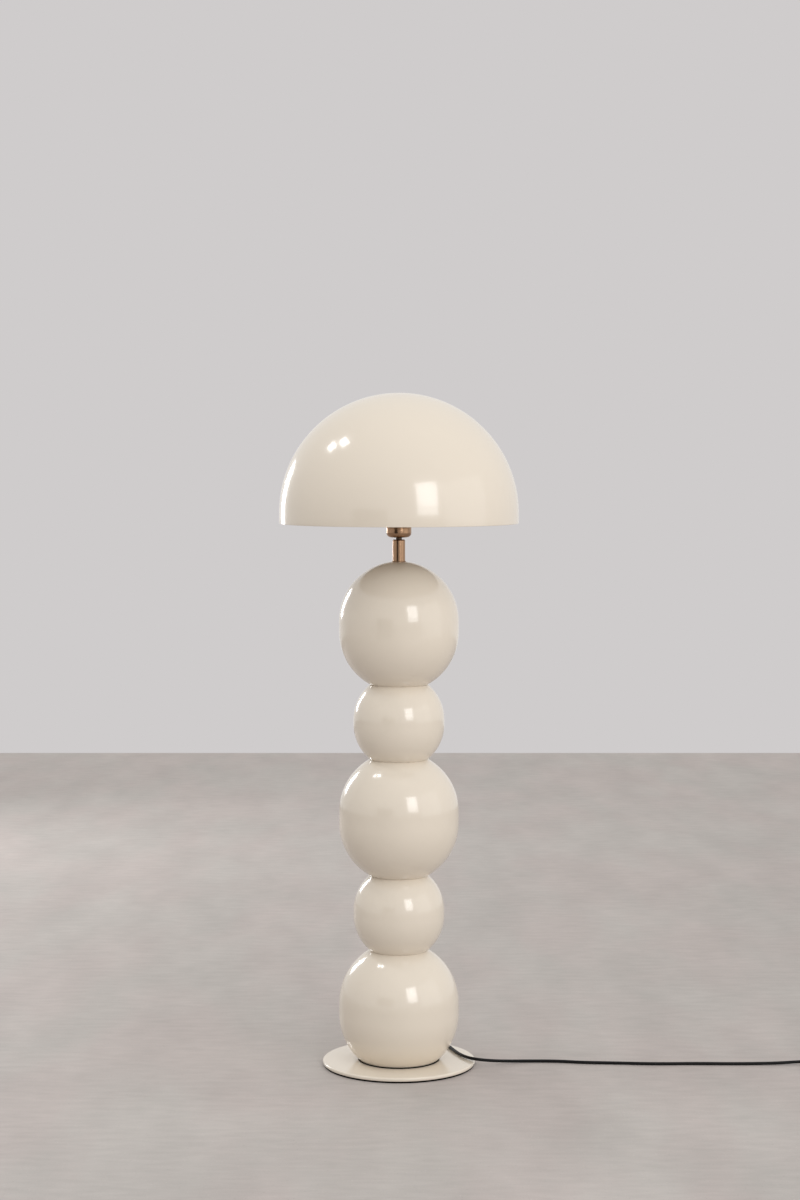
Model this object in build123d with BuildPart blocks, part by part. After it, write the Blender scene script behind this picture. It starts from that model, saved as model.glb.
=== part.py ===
from build123d import *

import os
from math import atan2, cos, degrees, hypot, pi, radians, sin, sqrt, tan

# Mushroom floor lamp, in millimetres. +Z is up, and the origin is the middle of the lamp at floor level.
# Seen from the front, the viewer stands on -Y, and +X is to the right.

# ---------------------------------------------------------------------------------------------
# Driving dimensions
# ---------------------------------------------------------------------------------------------

# Floor pad and base plate
pad_thick = 2.5
pad_inset = 2.5
pad_hole_dia = 40.0
plate_dia = 254.0
plate_thick = 6.0
plate_round = 2.4
recess_dia = 28.0
recess_depth = 3.0

# Hollow balls, each pressed as two half shells with a straight skirt and welded at the waist
big_ball_dia = 200.0
big_ball_belt = 18.0
small_ball_dia = 152.0
small_ball_belt = 7.0
ball_wall = 1.2
foot_dia = 130.0
neck_dia = 96.0
crown_dia = 26.0
neck_round = 1.4

# Threaded centre tube that clamps the stack, and its nuts and washers
tube_dia = 10.0
tube_bore = 7.0
tube_slot_width = 6.6
tube_slot_height = 26.0
thread_clearance = 0.05
ball_hole_clearance = 0.6
nut_flats = 14.0
nut_thick = 3.0
washer_thick = 1.2
base_washer_dia = 24.0
top_washer_dia = 17.0
tube_end = 0.4

# Brass stem
stem_dia = 21.0
stem_wall = 1.5
stem_height = 36.0
stem_top = 3.0
stem_chamfer = 1.6
stem_washer_dia = 24.0
stem_washer_thick = 1.0

# Lampholder for an E27 lamp
neck_reveal = 3.4
cup_dia = 42.0
cup_height = 24.0
cup_round = 8.0
cup_wall = 1.0
boss_dia = 16.0
boss_height = 7.0
skirt_clearance = 0.2
skirt_wall = 2.0
skirt_start = 9.0
skirt_height = 47.0
skirt_lip = 3.2
skirt_lip_thick = 2.0
insulator_start = 10.0
insulator_thick = 14.0
insulator_clearance = 0.2
wire_hole_dia = 8.0
shell_bore = 27.1
shell_wall = 0.5
shell_height = 26.0
contact_post_dia = 4.0
contact_height = 3.2
contact_thick = 0.6
contact_length = 9.0
contact_width = 5.0
terminal_screw_dia = 3.0
terminal_head_dia = 5.6
terminal_pitch = 21.0
terminal_head_thick = 2.0
terminal_length = 9.0

# Shade, its fitter and the ring that clamps the fitter
shade_dia = 400.0
shade_skirt = 18.0
shade_wall = 1.2
hem_height = 4.0
hem_wall = 2.2
hem_round = 0.8
shade_drop = 0.5
seat_gap = 0.3
fitter_hole_clearance = 0.4
fitter_ring_dia = 62.0
fitter_thick = 2.0
fitter_rod_dia = 4.0
fitter_foot_drop = 1.0
fitter_rod_count = 3
fitter_first_rod = 30.0
fitter_foot_width = 16.0
fitter_foot_height = 12.0
fitter_foot_thick = 1.5
shade_ring_dia = 54.0
shade_ring_height = 8.0
shade_ring_clearance = 0.1
shade_ring_flutes = 24
shade_ring_flute_dia = 3.0

# Bulb
bulb_gap = 0.3
bulb_length = 108.0
bulb_dia = 60.0
bulb_neck_dia = 27.0
cap_dia = 26.4
cap_length = 27.0
cap_groove = 0.8
cap_pitch = 3.6
cap_threads = 5
cap_wall = 0.4
cap_tip_dia = 8.0
cap_tip_thick = 1.2
cap_insulator_height = 4.0
cap_insulator_top_dia = 22.0
glass_wall = 0.8

# Mains lead and the grommet where it leaves the bottom ball
cord_dia = 5.0
exit_azimuth = 80.0
exit_drop = 29.0
grommet_flange_dia = 14.0
grommet_flange_thick = 2.0
grommet_waist_dia = 10.0
grommet_hole_clearance = 0.2
grommet_wall_gap = 0.3
grommet_tail_length = 18.0
grommet_tail_root_dia = 11.0
grommet_tail_tip_dia = 7.8
lead_bend = 20.0

# Switch on the lead
switch_x = 722.0
switch_y = -8.0
switch_length = 60.0
switch_width = 26.0
switch_height = 18.0
switch_wall = 1.8
switch_corner = 10.0
switch_edge_round = 2.5
switch_cord_z = 6.0
switch_entry_clearance = 0.1
screw_offset_x = 20.0
screw_offset_y = 7.0
screw_post_dia = 6.0
screw_dia = 2.2
screw_head_dia = 4.6
screw_head_thick = 1.4
screw_length = 12.0
rocker_length = 22.0
rocker_width = 12.0
rocker_gap = 0.3
rocker_tilt = 7.0
rocker_pivot_z = 13.5
rocker_rise = 5.2
rocker_depth = 2.5
trunnion_dia = 3.0
trunnion_length = 1.4
trunnion_clearance = 0.06
collar_wall = 1.2
collar_bottom_z = 11.2
rib_height = 9.3
rib_width = 2.0
rib_length = 5.0
rib_offset = 6.4
bridge_thick = 0.6

# Coil of the lead that is put away, and its tie
coil_x = 830.0
coil_mean_dia = 66.0
coil_lift = 1.0
coil_stub = 24.0
coil_swell = 0.1
tail_level = 10.0
tail_straight = 8.0
exit_straight = 7.0
plate_rest_gap = 0.3
floor_rest_gap = 0.1
tie_angle = 16.0
tie_azimuth = -8.0
tie_thick = 0.8

# Two-pin plug
plug_side_step = 1.2
plug_tail_x = 776.0
plug_length = 38.0
plug_face_width = 35.3
plug_thick = 14.0
plug_rear_width = 17.0
plug_rear_thick = 12.0
plug_round = 2.0
plug_tail_length = 24.0
plug_tail_root_dia = 10.0
plug_tail_tip_dia = 7.4
pin_pitch = 19.0
pin_dia = 4.0
pin_length = 19.0
pin_sleeve_length = 10.0
pin_sleeve_dia = 3.8
pin_core_dia = 3.0
pin_root = 8.0

# ---------------------------------------------------------------------------------------------
# Heights that follow from them
# ---------------------------------------------------------------------------------------------


def half_height(radius, cut_radius):
    """From a ball's centre to the flat where the ball is cut at cut_radius."""
    return sqrt(radius**2 - cut_radius**2)


plate_top = pad_thick + plate_thick
big_radius = big_ball_dia / 2
small_radius = small_ball_dia / 2
neck_radius = neck_dia / 2

# name, radius, belt, radius of the lower flat, radius of the upper flat
BALLS = [
    ("bottom_ball", big_radius, big_ball_belt, foot_dia / 2, neck_radius),
    ("lower_small_ball", small_radius, small_ball_belt, neck_radius, neck_radius),
    ("middle_ball", big_radius, big_ball_belt, neck_radius, neck_radius),
    ("upper_small_ball", small_radius, small_ball_belt, neck_radius, neck_radius),
    ("top_ball", big_radius, big_ball_belt, neck_radius, crown_dia / 2),
]


def ball_height(radius, belt, low_cut, high_cut):
    return half_height(radius, low_cut) + belt + half_height(radius, high_cut)


stack_top = plate_top + sum(ball_height(*ball[1:]) for ball in BALLS)
stem_foot = stack_top + stem_washer_thick
stem_end = stem_foot + stem_height
cup_bottom = stem_end + neck_reveal
cup_top = cup_bottom + cup_height
rim_z = cup_top - shade_drop
shade_radius = shade_dia / 2
shade_inside = shade_radius - shade_wall
dome_centre_z = rim_z + shade_skirt
skirt_radius = cup_dia / 2 - cup_wall - skirt_clearance
skirt_top = cup_bottom + skirt_start + skirt_height
insulator_top = cup_bottom + insulator_start + insulator_thick
bulb_tip_z = insulator_top + contact_height + bulb_gap
fitter_z = cup_top + seat_gap
shade_ring_z = fitter_z + fitter_thick + seat_gap
tube_hole_radius = tube_dia / 2 + thread_clearance
base_washer_z = pad_thick + recess_depth - washer_thick
base_nut_z = base_washer_z - nut_thick
cord_radius = cord_dia / 2

# The lead leaves the bottom ball square to its wall, towards the back and downwards
exit_centre = Vector(0, 0, plate_top + half_height(big_radius, foot_dia / 2))
exit_way = Vector(
    cos(radians(exit_drop)) * cos(radians(exit_azimuth)),
    cos(radians(exit_drop)) * sin(radians(exit_azimuth)),
    -sin(radians(exit_drop)),
)
exit_side = Vector(-sin(radians(exit_azimuth)), cos(radians(exit_azimuth)), 0)
exit_section = Plane(origin=exit_centre, x_dir=exit_way, z_dir=exit_side)
exit_axis = Axis(exit_centre, exit_way)
grommet_inner = big_radius - ball_wall - grommet_wall_gap - grommet_flange_thick
grommet_outer = big_radius + grommet_flange_thick + grommet_tail_length

# The coil has three turns on the floor, and the next ones lie in the grooves between them
coil_mean_radius = coil_mean_dia / 2
coil_low_z = coil_lift + cord_radius
coil_high_z = coil_low_z + cord_dia * sqrt(3) / 2
coil_outer = coil_mean_radius + cord_dia
coil_upper = coil_mean_radius + cord_dia / 2
coil_round = cord_radius + coil_swell
coil_y = switch_y + coil_outer
plug_axis_z = plug_thick / 2
plug_y = coil_y + coil_upper + plug_side_step

# ---------------------------------------------------------------------------------------------
# Base
# ---------------------------------------------------------------------------------------------

with BuildPart() as floor_pad:
    with BuildSketch(Plane.XY):
        Circle(plate_dia / 2 - pad_inset)
        Circle(pad_hole_dia / 2, mode=Mode.SUBTRACT)
    extrude(amount=pad_thick)

with BuildPart() as base_plate:
    with BuildSketch(Plane.XY.offset(pad_thick)):
        Circle(plate_dia / 2)
    extrude(amount=plate_thick)
    fillet(base_plate.edges().filter_by(GeomType.CIRCLE), plate_round)
    # the recess for the nut, from below, and the hole for the tube
    with BuildSketch(Plane.XY.offset(pad_thick)):
        Circle(recess_dia / 2)
    extrude(amount=recess_depth, mode=Mode.SUBTRACT)
    with BuildSketch(Plane.XY.offset(pad_thick)):
        Circle(tube_hole_radius)
    extrude(amount=plate_thick, mode=Mode.SUBTRACT)


def make_washer(outer_dia, bottom_z, thick):
    with BuildPart() as washer:
        with BuildSketch(Plane.XY.offset(bottom_z)):
            Circle(outer_dia / 2)
            Circle(tube_hole_radius, mode=Mode.SUBTRACT)
        extrude(amount=thick)
    return washer


def make_nut(bottom_z):
    with BuildPart() as nut:
        with BuildSketch(Plane.XY.offset(bottom_z)):
            RegularPolygon(nut_flats / 2, 6, major_radius=False)
            Circle(tube_hole_radius, mode=Mode.SUBTRACT)
        extrude(amount=nut_thick)
    return nut


base_washer = make_washer(base_washer_dia, base_washer_z, washer_thick)
base_nut = make_nut(base_nut_z)
top_washer = make_washer(top_washer_dia, stack_top, washer_thick)
top_nut = make_nut(stack_top + washer_thick)
stem_washer_hole = stem_dia / 2 - stem_wall

# ---------------------------------------------------------------------------------------------
# Balls
# ---------------------------------------------------------------------------------------------


def ball_outline(radius, low_cut, high_cut, low_z, high_z):
    """Half section of a ball with flat ends: it goes round from the lower flat to the upper one."""
    low_centre = low_z + half_height(radius, low_cut)
    high_centre = high_z - half_height(radius, high_cut)
    low_angle = degrees(atan2(low_centre - low_z, low_cut))
    high_angle = degrees(atan2(high_z - high_centre, high_cut))
    with BuildSketch(Plane.XZ) as outline:
        with BuildLine():
            Line((0, low_z), (low_cut, low_z))
            CenterArc((0, low_centre), radius, -low_angle, low_angle)
            Line((radius, low_centre), (radius, high_centre))
            CenterArc((0, high_centre), radius, 0, high_angle)
            Polyline((high_cut, high_z), (0, high_z), (0, low_z))
        make_face()
    return outline.sketch


def make_ball(radius, belt, low_cut, high_cut, low_z):
    """A hollow ball. Its inside follows the outside at the wall's thickness."""
    high_z = low_z + ball_height(radius, belt, low_cut, high_cut)
    inside = radius - ball_wall
    inner_low_cut = sqrt(inside**2 - (half_height(radius, low_cut) - ball_wall) ** 2)
    inner_high_cut = sqrt(inside**2 - (half_height(radius, high_cut) - ball_wall) ** 2)
    with BuildPart() as ball:
        revolve(ball_outline(radius, low_cut, high_cut, low_z, high_z), axis=Axis.Z)
        ends = ball.edges().filter_by(GeomType.CIRCLE).group_by(Axis.Z)
        fillet(ends[0] + ends[-1], neck_round)
        hollow = ball_outline(
            inside, inner_low_cut, inner_high_cut, low_z + ball_wall, high_z - ball_wall
        )
        revolve(hollow, axis=Axis.Z, mode=Mode.SUBTRACT)
        # holes in the two flats for the centre tube
        with BuildSketch(Plane.XY.offset(low_z)):
            Circle(tube_dia / 2 + ball_hole_clearance)
        extrude(amount=high_z - low_z, mode=Mode.SUBTRACT)
        if low_z == plate_top:
            # the lead's hole, square to the wall at the back of the bottom ball
            with BuildSketch(Plane(origin=exit_centre, z_dir=exit_way)):
                Circle(grommet_waist_dia / 2 + grommet_hole_clearance)
            extrude(amount=big_radius + grommet_flange_thick, mode=Mode.SUBTRACT)
    return ball


balls = {}
ball_foot = plate_top
for ball_name, radius, belt, low_cut, high_cut in BALLS:
    balls[ball_name] = make_ball(radius, belt, low_cut, high_cut, ball_foot)
    ball_foot += ball_height(radius, belt, low_cut, high_cut)

# ---------------------------------------------------------------------------------------------
# Centre tube and stem
# ---------------------------------------------------------------------------------------------

with BuildPart() as centre_tube:
    tube_foot = base_nut_z - tube_end
    with BuildSketch(Plane.XY.offset(tube_foot)):
        Circle(tube_dia / 2)
        Circle(tube_bore / 2, mode=Mode.SUBTRACT)
    extrude(amount=cup_bottom + boss_height - tube_foot)
    # slot through the wall at the back, where the lead goes into the tube
    with BuildSketch(Plane(origin=exit_centre, z_dir=(exit_way.X, exit_way.Y, 0))):
        SlotOverall(tube_slot_height, tube_slot_width, rotation=90)
    extrude(amount=tube_dia, mode=Mode.SUBTRACT)

with BuildPart() as stem_washer:
    with BuildSketch(Plane.XY.offset(stack_top)):
        Circle(stem_washer_dia / 2)
        Circle(stem_washer_hole, mode=Mode.SUBTRACT)
    extrude(amount=stem_washer_thick)

with BuildPart() as stem:
    with BuildSketch(Plane.XY.offset(stem_foot)):
        Circle(stem_dia / 2)
    extrude(amount=stem_height)
    chamfer(stem.edges().group_by(Axis.Z)[-1], stem_chamfer)
    with BuildSketch(Plane.XY.offset(stem_foot)):
        Circle(stem_dia / 2 - stem_wall)
    extrude(amount=stem_height - stem_top, mode=Mode.SUBTRACT)
    with BuildSketch(Plane.XY.offset(stem_foot)):
        Circle(tube_hole_radius)
    extrude(amount=stem_height, mode=Mode.SUBTRACT)

# ---------------------------------------------------------------------------------------------
# Lampholder
# ---------------------------------------------------------------------------------------------

with BuildPart() as lampholder_cup:
    cup_radius = cup_dia / 2
    with BuildSketch(Plane.XZ):
        with BuildLine():
            corner = (cup_radius - cup_round, cup_bottom + cup_round)
            Line((0, cup_bottom), (cup_radius - cup_round, cup_bottom))
            CenterArc(corner, cup_round, -90, 90)
            Polyline(
                (cup_radius, cup_bottom + cup_round),
                (cup_radius, cup_top),
                (cup_radius - cup_wall, cup_top),
                (cup_radius - cup_wall, cup_bottom + cup_round),
            )
            CenterArc(corner, cup_round - cup_wall, -90, 90)
            Polyline(
                (cup_radius - cup_round, cup_bottom + cup_wall),
                (0, cup_bottom + cup_wall),
                (0, cup_bottom),
            )
        make_face()
    revolve(axis=Axis.Z)
    # threaded boss for the centre tube
    with BuildSketch(Plane.XY.offset(cup_bottom)):
        Circle(boss_dia / 2)
    extrude(amount=boss_height)
    with BuildSketch(Plane.XY.offset(cup_bottom)):
        Circle(tube_hole_radius)
    extrude(amount=boss_height, mode=Mode.SUBTRACT)

with BuildPart() as lampholder_skirt:
    with BuildSketch(Plane.XY.offset(cup_bottom + skirt_start)):
        Circle(skirt_radius)
    extrude(amount=skirt_height)
    with BuildSketch(Plane.XY.offset(cup_bottom + skirt_start)):
        Circle(skirt_radius - skirt_wall)
    extrude(amount=skirt_height - skirt_lip_thick, mode=Mode.SUBTRACT)
    with BuildSketch(Plane.XY.offset(cup_bottom + skirt_start)):
        Circle(skirt_radius - skirt_wall - skirt_lip)
    extrude(amount=skirt_height, mode=Mode.SUBTRACT)

terminal_places = [(-terminal_pitch / 2, 0), (terminal_pitch / 2, 0)]
with BuildPart() as lampholder_insulator:
    with BuildSketch(Plane.XY.offset(cup_bottom + insulator_start)):
        Circle(skirt_radius - skirt_wall - insulator_clearance)
    extrude(amount=insulator_thick)
    # way in for the wires, and blind holes for the two terminal screws, from below
    with BuildSketch(Plane.XY.offset(cup_bottom + insulator_start)):
        Circle(wire_hole_dia / 2)
    extrude(amount=insulator_thick / 2, mode=Mode.SUBTRACT)
    with BuildSketch(Plane.XY.offset(cup_bottom + insulator_start)):
        with Locations(*terminal_places):
            Circle(terminal_screw_dia / 2 + thread_clearance)
    extrude(amount=terminal_length, mode=Mode.SUBTRACT)
    with BuildSketch(Plane.XY.offset(cup_bottom + insulator_start)):
        with Locations(*terminal_places):
            Circle(terminal_head_dia / 2 + thread_clearance)
    extrude(amount=terminal_head_thick, mode=Mode.SUBTRACT)

with BuildPart() as terminal_screws:
    with BuildSketch(Plane.XY.offset(cup_bottom + insulator_start)):
        with Locations(*terminal_places):
            Circle(terminal_head_dia / 2)
    extrude(amount=terminal_head_thick)
    with BuildSketch(Plane.XY.offset(cup_bottom + insulator_start)):
        with Locations(*terminal_places):
            Circle(terminal_screw_dia / 2)
    extrude(amount=terminal_length)

with BuildPart() as screw_shell:
    with BuildSketch(Plane.XY.offset(insulator_top)):
        Circle(shell_bore / 2 + shell_wall)
        Circle(shell_bore / 2, mode=Mode.SUBTRACT)
    extrude(amount=shell_height)

with BuildPart() as centre_contact:
    with BuildSketch(Plane.XY.offset(insulator_top)):
        Circle(contact_post_dia / 2)
    extrude(amount=contact_height)
    with BuildSketch(Plane.XY.offset(insulator_top + contact_height - contact_thick)):
        SlotOverall(contact_length, contact_width)
    extrude(amount=contact_thick)

# ---------------------------------------------------------------------------------------------
# Shade, fitter and shade ring
# ---------------------------------------------------------------------------------------------

with BuildPart() as shade:
    with BuildSketch(Plane.XZ):
        with BuildLine():
            Line((shade_radius, rim_z), (shade_radius, dome_centre_z))
            CenterArc((0, dome_centre_z), shade_radius, 0, 90)
            Line((0, dome_centre_z + shade_radius), (0, dome_centre_z + shade_inside))
            CenterArc((0, dome_centre_z), shade_inside, 0, 90)
            Polyline(
                (shade_inside, dome_centre_z),
                (shade_inside, rim_z + hem_height),
                (shade_radius - hem_wall, rim_z + hem_height),
                (shade_radius - hem_wall, rim_z),
                (shade_radius, rim_z),
            )
        make_face()
    revolve(axis=Axis.Z)
    # the hem is folded inwards, so its lower edges are round
    fillet(shade.edges().filter_by(GeomType.CIRCLE).group_by(Axis.Z)[0], hem_round)

with BuildPart() as shade_fitter:
    with BuildSketch(Plane.XY.offset(fitter_z)):
        Circle(fitter_ring_dia / 2)
        Circle(skirt_radius + fitter_hole_clearance, mode=Mode.SUBTRACT)
    extrude(amount=fitter_thick)
    rod_start = fitter_ring_dia / 2 - fitter_rod_dia / 2
    rod_end = shade_inside - fitter_foot_thick / 2
    rod_z = fitter_z + fitter_thick / 2
    foot_z = dome_centre_z - fitter_foot_drop - fitter_foot_height / 2
    foot_turn = degrees(fitter_foot_width / shade_inside)
    for rod in range(fitter_rod_count):
        turn = fitter_first_rod + rod * 360 / fitter_rod_count
        way = Vector(cos(radians(turn)), sin(radians(turn)), 0)
        rod_foot = way * rod_start + Vector(0, 0, rod_z)
        rod_tip = way * rod_end + Vector(0, 0, foot_z)
        with BuildSketch(Plane(origin=rod_foot, z_dir=rod_tip - rod_foot)):
            Circle(fitter_rod_dia / 2)
        extrude(amount=(rod_tip - rod_foot).length)
        # welding foot, bent to the inside of the shade's skirt
        with BuildSketch(Plane.XZ.rotated((0, 0, turn - foot_turn / 2))):
            with Locations((rod_end, foot_z)):
                Rectangle(fitter_foot_thick, fitter_foot_height)
        revolve(axis=Axis.Z, revolution_arc=foot_turn)

with BuildPart() as shade_ring:
    with BuildSketch(Plane.XY.offset(shade_ring_z)):
        Circle(shade_ring_dia / 2)
        Circle(skirt_radius + shade_ring_clearance, mode=Mode.SUBTRACT)
        with PolarLocations(shade_ring_dia / 2, shade_ring_flutes):
            Circle(shade_ring_flute_dia / 2, mode=Mode.SUBTRACT)
    extrude(amount=shade_ring_height)

# ---------------------------------------------------------------------------------------------
# Bulb
# ---------------------------------------------------------------------------------------------

cap_top_z = bulb_tip_z + cap_length
cap_shell_z = bulb_tip_z + cap_tip_thick + cap_insulator_height
globe_centre_z = bulb_tip_z + bulb_length - bulb_dia / 2


def globe_outline(inset):
    """Half section of the globe: a straight neck, a shoulder and a round top."""
    neck = bulb_neck_dia / 2 - inset
    ball = bulb_dia / 2 - inset
    with BuildSketch(Plane.XZ) as outline:
        with BuildLine():
            Line((0, cap_top_z), (neck, cap_top_z))
            Spline((neck, cap_top_z), (ball, globe_centre_z), tangents=[(0, 1), (0, 1)])
            CenterArc((0, globe_centre_z), ball, 0, 90)
            Line((0, globe_centre_z + ball), (0, cap_top_z))
        make_face()
    return outline.sketch


with BuildPart() as bulb_globe:
    revolve(globe_outline(0), axis=Axis.Z)
    revolve(globe_outline(glass_wall), axis=Axis.Z, mode=Mode.SUBTRACT)

with BuildPart() as bulb_cap:
    with BuildSketch(Plane.XY.offset(cap_shell_z)):
        Circle(cap_dia / 2)
    extrude(amount=cap_top_z - cap_shell_z)
    # the thread's valleys, as rings
    for ring in range(cap_threads):
        ring_z = cap_shell_z + cap_pitch * (ring + 0.8)
        with BuildSketch(Plane.XZ):
            with Locations((cap_dia / 2 + cap_groove, ring_z)):
                Circle(cap_pitch / 2)
        revolve(axis=Axis.Z, mode=Mode.SUBTRACT)
    with BuildSketch(Plane.XY.offset(cap_shell_z + cap_wall)):
        Circle(cap_dia / 2 - cap_pitch / 2 + cap_groove - cap_wall)
    extrude(amount=cap_top_z - cap_shell_z, mode=Mode.SUBTRACT)

with BuildPart() as bulb_cap_insulator:
    with BuildSketch(Plane.XY.offset(bulb_tip_z)):
        Circle(cap_tip_dia / 2)
    extrude(amount=cap_tip_thick)
    with BuildSketch(Plane.XY.offset(bulb_tip_z + cap_tip_thick)):
        Circle(cap_tip_dia / 2)
    with BuildSketch(Plane.XY.offset(cap_shell_z)):
        Circle(cap_insulator_top_dia / 2)
    loft()

# ---------------------------------------------------------------------------------------------
# Mains lead: grommet, the part inside the lamp, and the part on the floor
# ---------------------------------------------------------------------------------------------

with BuildPart() as cord_grommet:
    with BuildSketch(exit_section):
        with BuildLine():
            inner_face = big_radius - ball_wall - grommet_wall_gap
            Polyline(
                (grommet_inner, cord_radius),
                (grommet_inner, grommet_flange_dia / 2),
                (inner_face, grommet_flange_dia / 2),
                (inner_face, grommet_waist_dia / 2),
                (big_radius, grommet_waist_dia / 2),
                (big_radius, grommet_flange_dia / 2),
                (big_radius + grommet_flange_thick, grommet_flange_dia / 2),
                (big_radius + grommet_flange_thick, grommet_tail_root_dia / 2),
                (grommet_outer, grommet_tail_tip_dia / 2),
                (grommet_outer, cord_radius),
                (grommet_inner, cord_radius),
            )
        make_face()
    revolve(axis=exit_axis)


def corner_radii(points):
    """Each corner's arc is as large as its two runs allow."""
    radii = []
    for before, corner, after in zip(points, points[1:], points[2:]):
        run_in = corner - before
        run_out = after - corner
        turn = radians(run_in.get_angle(run_out))
        radii.append(0.45 * min(run_in.length, run_out.length) / tan(turn / 2))
    return radii


def make_tube(name, points, radii=None):
    """A round lead along straight runs joined by tangent arcs."""
    points = [Vector(*point) for point in points]
    radii = radii or corner_radii(points)
    with BuildPart() as tube:
        with BuildLine() as route:
            FilletPolyline(*points, radius=radii)
        with BuildSketch(Plane(origin=route.line @ 0, z_dir=route.line % 0)):
            Circle(cord_radius)
        sweep()
    length = route.wire().length
    share = tube.part.volume / (pi * cord_radius**2 * length)
    print(f"{name}: length {length:.1f}, volume over section times length {share:.5f}")
    print("  radii", [round(radius, 1) for radius in radii])
    return tube


on_plate = plate_top + cord_radius + plate_rest_gap
on_floor = cord_radius + floor_rest_gap

# Out of the grommet, round behind the ball on the disc, forward over the disc's edge, then to the right
CORD_ROUTE = [
    exit_centre + exit_way * grommet_inner,
    exit_centre + exit_way * (grommet_outer + exit_straight),
    (27.2, 119.5, 17.0),
    (41.0, 124.5, 13.8),
    (57.0, 122.0, 12.2),
    (71.0, 109.0, 11.6),
    (80.5, 86.0, on_plate),
    (89.5, 54.0, on_plate),
    (100.5, 19.5, on_plate),
    (114.0, -7.5, 11.9),
    (131.0, -25.0, 13.0),
    (156.0, -13.5, 8.0),
    (186.0, 1.5, 3.6),
    (222.0, 7.0, on_floor),
    (266.0, 6.0, on_floor),
    (306.0, -3.0, on_floor),
    (358.0, -6.0, on_floor),
    (424.0, -12.0, on_floor),
    (492.0, -9.5, on_floor),
    (562.0, -11.5, on_floor),
    (628.0, -8.6, on_floor),
    (680.0, switch_y, switch_cord_z),
    (764.0, switch_y, switch_cord_z),
    (785.0, switch_y, coil_low_z),
    (coil_x - coil_stub, switch_y, coil_low_z),
]
cord = make_tube("cord", CORD_ROUTE)

# From the grommet straight at the tube, through its slot, and up to the lampholder
lead_end = cup_bottom + insulator_start
LEAD_ROUTE = [
    exit_centre + exit_way * grommet_inner,
    exit_centre,
    Vector(0, 0, lead_end),
]
inner_lead = make_tube("inner_lead", LEAD_ROUTE, [lead_bend])

tail_y = coil_y + coil_upper
TAIL_ROUTE = [
    (coil_x - coil_stub, tail_y, coil_high_z),
    (coil_x - coil_stub - tail_level, tail_y, coil_high_z),
    (plug_tail_x + tail_straight, plug_y, plug_axis_z),
    (plug_tail_x - plug_tail_length, plug_y, plug_axis_z),
]

# ---------------------------------------------------------------------------------------------
# Coil and tie
# ---------------------------------------------------------------------------------------------

coil_axis = Axis((coil_x, coil_y, 0), (0, 0, 1))
coil_section = Plane(origin=(coil_x, coil_y, 0), x_dir=(1, 0, 0), z_dir=(0, -1, 0))
turn_places = [
    (coil_mean_radius - cord_dia, coil_low_z),
    (coil_mean_radius, coil_low_z),
    (coil_mean_radius + cord_dia, coil_low_z),
    (coil_mean_radius - cord_dia / 2, coil_high_z),
    (coil_mean_radius + cord_dia / 2, coil_high_z),
]


def coil_outline(plane, radius):
    """The outer shape round the turns."""
    with BuildSketch(plane) as outline:
        with Locations(*turn_places):
            Circle(radius)
        make_hull()
    return outline.sketch


with BuildPart() as cord_coil:
    revolve(coil_outline(coil_section, coil_round), axis=coil_axis)
    # the lead arrives at the front and leaves at the back, along tangents
    with BuildSketch(Plane(origin=(coil_x, switch_y, coil_low_z), z_dir=(-1, 0, 0))):
        Circle(cord_radius)
    extrude(amount=coil_stub)
    with BuildSketch(Plane(origin=(coil_x, tail_y, coil_high_z), z_dir=(-1, 0, 0))):
        Circle(cord_radius)
    extrude(amount=coil_stub)

tie_section = Plane(
    origin=(coil_x, coil_y, 0),
    x_dir=(cos(radians(tie_azimuth)), sin(radians(tie_azimuth)), 0),
    z_dir=(sin(radians(tie_azimuth)), -cos(radians(tie_azimuth)), 0),
)
with BuildPart() as cord_tie:
    strap = coil_outline(tie_section, coil_round + tie_thick)
    revolve(strap, axis=coil_axis, revolution_arc=tie_angle)
    revolve(coil_outline(tie_section, coil_round), axis=coil_axis, mode=Mode.SUBTRACT)

# ---------------------------------------------------------------------------------------------
# Switch
# ---------------------------------------------------------------------------------------------

switch_plane = Plane(origin=(switch_x, switch_y, 0))
switch_side = Plane(origin=(switch_x, switch_y, switch_cord_z), x_dir=(0, 1, 0), z_dir=(1, 0, 0))
screw_places = [(-screw_offset_x, -screw_offset_y), (screw_offset_x, screw_offset_y)]
rib_places = [(0, -rib_offset), (0, rib_offset)]


def switch_block(low_z, high_z, inset):
    """The switch's rounded block from one height to another, inset from its sides."""
    with BuildSketch(switch_plane.offset(low_z)) as block:
        RectangleRounded(
            switch_length - 2 * inset, switch_width - 2 * inset, switch_corner - inset
        )
    return extrude(block.sketch, amount=high_z - low_z, mode=Mode.PRIVATE)


def switch_pegs(low_z, high_z, dia):
    """A round peg at each of the two screws."""
    with BuildSketch(switch_plane.offset(low_z)) as pegs:
        with Locations(*screw_places):
            Circle(dia / 2)
    return extrude(pegs.sketch, amount=high_z - low_z, mode=Mode.PRIVATE)


def cord_way():
    """The round way in and out for the lead, half of it in each half of the switch."""
    with BuildSketch(switch_side) as way:
        Circle(cord_radius + switch_entry_clearance)
    return extrude(way.sketch, amount=switch_length, both=True, mode=Mode.PRIVATE)


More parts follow.
